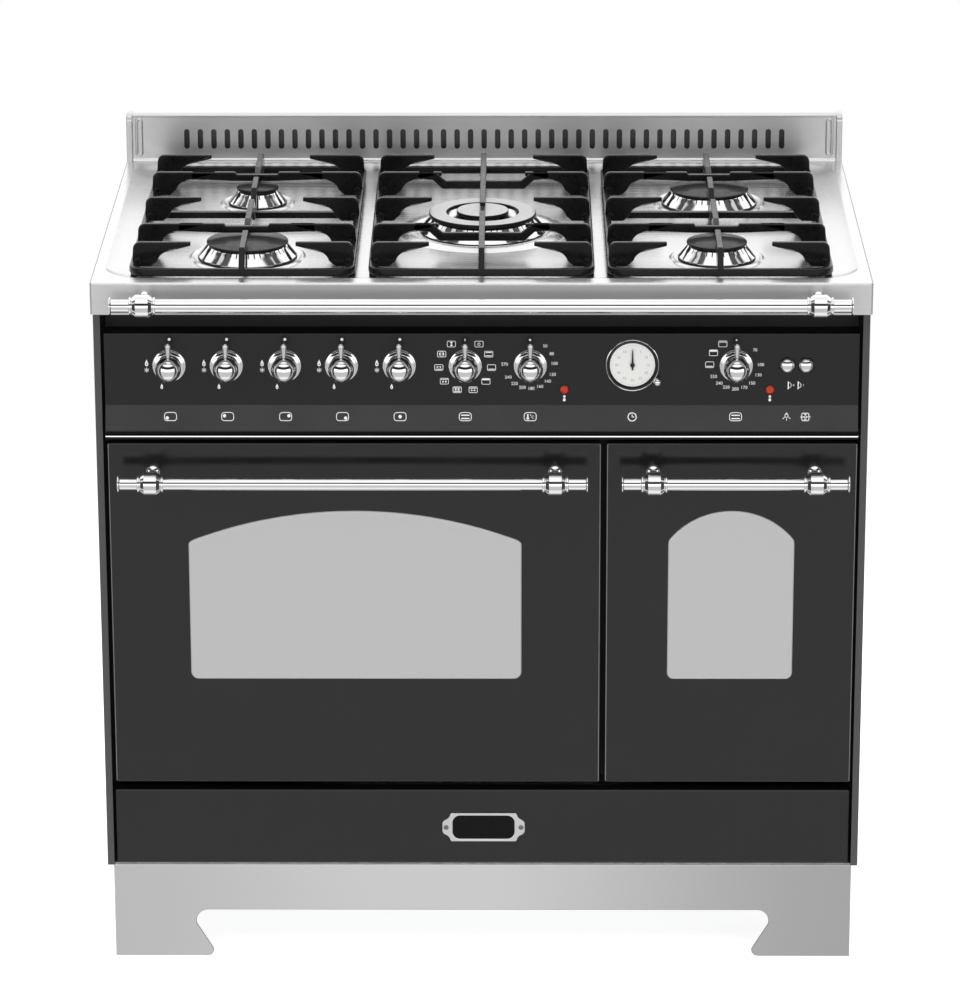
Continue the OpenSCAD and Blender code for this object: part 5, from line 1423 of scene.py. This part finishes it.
# ------------------------------------------------------------------ CAD nodes that stay, with their finish
FINISH = {
    "adjustable_feet": foot_steel, "base_pan": zinc, "side_panels": side_enamel, "rear_panel": zinc, "front_frame": frame_enamel,
    "burner_bodies": alloy, "gas_manifold": brass, "left_oven_cavity": cavity, "right_oven_cavity": cavity, "door_seals": rubber,
    "oven_racks": rack, "heating_elements": heater, "fan_cover": cavity_light, "fan_rotor": fan_alloy, "fan_motor": motor, "oven_lamps": lamp_glass,
    "control_switches": plastic, "left_door_inner": cavity, "right_door_inner": cavity, "drawer_box": drawer_grey, "drawer_runners": zinc,
}
for k in KNOBS:
    FINISH[k + "_spindle"] = spindle_steel
for n, m in FINISH.items():
    o = NODE[n]
    o.data.materials.clear()
    o.data.materials.append(m)
for n, w in (("side_panels", 0.0006), ("front_frame", 0.0004), ("drawer_box", 0.0004), ("rear_panel", 0.0003), ("adjustable_feet", 0.0008)):
    b = NODE[n].modifiers.new("edges", "BEVEL")
    b.width = w
    b.segments = 2
    b.limit_method = "ANGLE"
    b.angle_limit = rad(50)
    b.harden_normals = False

# ------------------------------------------------------------------ studio
scene = bpy.context.scene
try:
    scene.cycles.use_denoising = True
except Exception:
    pass
scene.view_settings.view_transform = "Standard"
scene.view_settings.look = "None"

world = bpy.data.worlds.new("studio")
scene.world = world
world.use_nodes = True
nt = world.node_tree
nt.nodes.clear()


def wn(kind, **kw):
    n = nt.nodes.new("ShaderNode" + kind)
    for k, v in kw.items():
        setattr(n, k, v)
    return n


def wmath(op, a, b=None, c=None):
    n = wn("Math", operation=op)
    for i, x in enumerate([a, b, c]):
        if x is None:
            continue
        if isinstance(x, (int, float)):
            n.inputs[i].default_value = x
        else:
            nt.links.new(x, n.inputs[i])
    return n.outputs[0]


def wramp(fac, stops, interp="LINEAR"):
    n = wn("ValToRGB")
    e = n.color_ramp
    e.interpolation = interp
    while len(e.elements) > 1:
        e.elements.remove(e.elements[-1])
    e.elements[0].position, e.elements[0].color = stops[0][0], (stops[0][1],) * 3 + (1,)
    for p, c in stops[1:]:
        x = e.elements.new(p)
        x.color = (c, c, c, 1)
    nt.links.new(fac, n.inputs[0])
    return n.outputs[0]


tc = wn("TexCoord")
sep = wn("SeparateXYZ")
nt.links.new(tc.outputs["Generated"], sep.inputs[0])
X_, Y_, Z_ = sep.outputs
el = wmath("MULTIPLY_ADD", wmath("ARCSINE", Z_), 1 / math.pi, 0.5)  # 0 at the nadir, 1 at the zenith
az = wmath("ABSOLUTE", wmath("ARCTAN2", X_, wmath("MULTIPLY", Y_, -1.0)))  # 0 towards the front, pi behind
azn = wmath("DIVIDE", az, math.pi)


def e_(deg):
    return deg / 180 + 0.5


def a_(deg):
    return deg / 180


front_el = wramp(el, [(e_(-90), 0.9), (e_(-55), 1.0), (e_(-45), 0.62), (e_(-9), 0.6), (e_(0), 1.5), (e_(4), 1.75), (e_(16), 1.75), (e_(19), 0.02), (e_(38), 0.02), (e_(43), 1.2), (e_(75), 1.2), (e_(90), 1.0)])
side_el = wramp(el, [(e_(-90), 0.35), (e_(-60), 0.08), (e_(-10), 0.05), (e_(35), 0.06), (e_(60), 0.12), (e_(75), 0.7), (e_(90), 1.0)])
back_el = wramp(el, [(e_(-90), 0.4), (e_(-30), 0.6), (e_(-4), 1.0), (e_(4), 1.22), (e_(40), 1.28), (e_(60), 1.1), (e_(90), 1.0)])
w_front = wramp(azn, [(0.0, 1.0), (a_(61), 1.0), (a_(66), 0.0), (1.0, 0.0)])
w_back = wramp(azn, [(0.0, 0.0), (a_(102), 0.0), (a_(112), 1.0), (1.0, 1.0)])
streak = wramp(azn, [(0.0, 0.0), (a_(84), 0.0), (a_(86), 0.8), (a_(92), 0.8), (a_(94), 0.0), (1.0, 0.0)])


def wmix(f, a, b):
    n = wn("Mix", data_type="RGBA")
    nt.links.new(f, n.inputs[0])
    nt.links.new(a, n.inputs[6])
    nt.links.new(b, n.inputs[7])
    return n.outputs[2]


bright = wn("RGB")
bright.outputs[0].default_value = (0.95, 0.95, 0.95, 1)
sides = wmix(streak, side_el, bright.outputs[0])
env = wmix(w_back, wmix(w_front, sides, front_el), back_el)
lp = wn("LightPath")
white = wn("RGB")
white.outputs[0].default_value = (1.0, 1.0, 1.0, 1)
final = wmix(lp.outputs["Is Camera Ray"], env, white.outputs[0])
bg = wn("Background")
nt.links.new(final, bg.inputs[0])
wo = wn("OutputWorld")
nt.links.new(bg.outputs[0], wo.inputs[0])

# floor: pale, with a soft contact shadow, fading into the white surround
me = bpy.data.meshes.new("floor")
bm = bmesh.new()
bmesh.ops.create_circle(bm, cap_ends=True, cap_tris=True, segments=96, radius=6.0)
bm.to_mesh(me)
bm.free()
floor = bpy.data.objects.new("floor", me)
floor.location = (0, 0, -0.0006)
scene.collection.objects.link(floor)
fm = bpy.data.materials.new("pale_floor")
fm.use_nodes = True
t = fm.node_tree
t.nodes.clear()
fo = t.nodes.new("ShaderNodeOutputMaterial")
df = t.nodes.new("ShaderNodeBsdfDiffuse")
df.inputs[0].default_value = (0.8, 0.8, 0.8, 1)
em = t.nodes.new("ShaderNodeEmission")
em.inputs[0].default_value = (1, 1, 1, 1)
em.inputs[1].default_value = 0.72
ad = t.nodes.new("ShaderNodeAddShader")
t.links.new(df.outputs[0], ad.inputs[0])
t.links.new(em.outputs[0], ad.inputs[1])
tr = t.nodes.new("ShaderNodeBsdfTransparent")
mx = t.nodes.new("ShaderNodeMixShader")
co = t.nodes.new("ShaderNodeTexCoord")
ln = t.nodes.new("ShaderNodeVectorMath")
ln.operation = "LENGTH"
t.links.new(co.outputs["Object"], ln.inputs[0])
rp = t.nodes.new("ShaderNodeMapRange")
rp.interpolation_type = "SMOOTHSTEP"
rp.inputs["From Min"].default_value = 0.7
rp.inputs["From Max"].default_value = 2.2
t.links.new(ln.outputs["Value"], rp.inputs["Value"])
t.links.new(rp.outputs[0], mx.inputs[0])
t.links.new(ad.outputs[0], mx.inputs[1])
t.links.new(tr.outputs[0], mx.inputs[2])
t.links.new(mx.outputs[0], fo.inputs[0])
me.materials.append(fm)
floor.visible_glossy = False


def softbox(name, loc, aim, size, power, spread=None):
    l = bpy.data.lights.new(name, "AREA")
    l.shape = "RECTANGLE"
    l.size, l.size_y = size
    l.energy = power
    o = bpy.data.objects.new(name, l)
    o.location = loc
    o.rotation_euler = (Vector(aim) - Vector(loc)).to_track_quat("-Z", "Y").to_euler()
    scene.collection.objects.link(o)
    o.visible_camera = False
    o.visible_glossy = False
    return o


softbox("key", (-1.8, -2.6, 2.6), (0, 0, 0.5), (1.6, 1.2), 26)
softbox("fill", (2.2, -2.4, 1.8), (0, 0, 0.5), (1.4, 1.4), 14)
softbox("top", (0, 0.2, 3.0), (0, 0, 0.8), (1.6, 1.2), 18)

# ------------------------------------------------------------------ camera
F_PX, T_, W_, R_ = 4772.2657, 0.3133, -0.0072, -0.0018
cam = bpy.data.cameras.new("camera")
cam.sensor_fit = "AUTO"
cam.sensor_width = 36.0
cam.lens = F_PX * 36.0 / 1008
cam.shift_x = (480 - 481.0) / 1008
cam.shift_y = (453.6 - 504) / 1008
cam.clip_start, cam.clip_end = 0.1, 60
fwd = Vector((math.sin(W_) * math.cos(T_), math.cos(W_) * math.cos(T_), -math.sin(T_)))
right = Vector((math.cos(W_), -math.sin(W_), 0))
up = right.cross(fwd)
r2 = right * math.cos(R_) + up * math.sin(R_)
u2 = -right * math.sin(R_) + up * math.cos(R_)
co_ = bpy.data.objects.new("camera", cam)
scene.collection.objects.link(co_)
m3 = Matrix((r2, u2, -fwd)).transposed()
co_.matrix_world = Matrix.Translation((0.03732, -5.54296, 2.35094)) @ m3.to_4x4()
scene.camera = co_
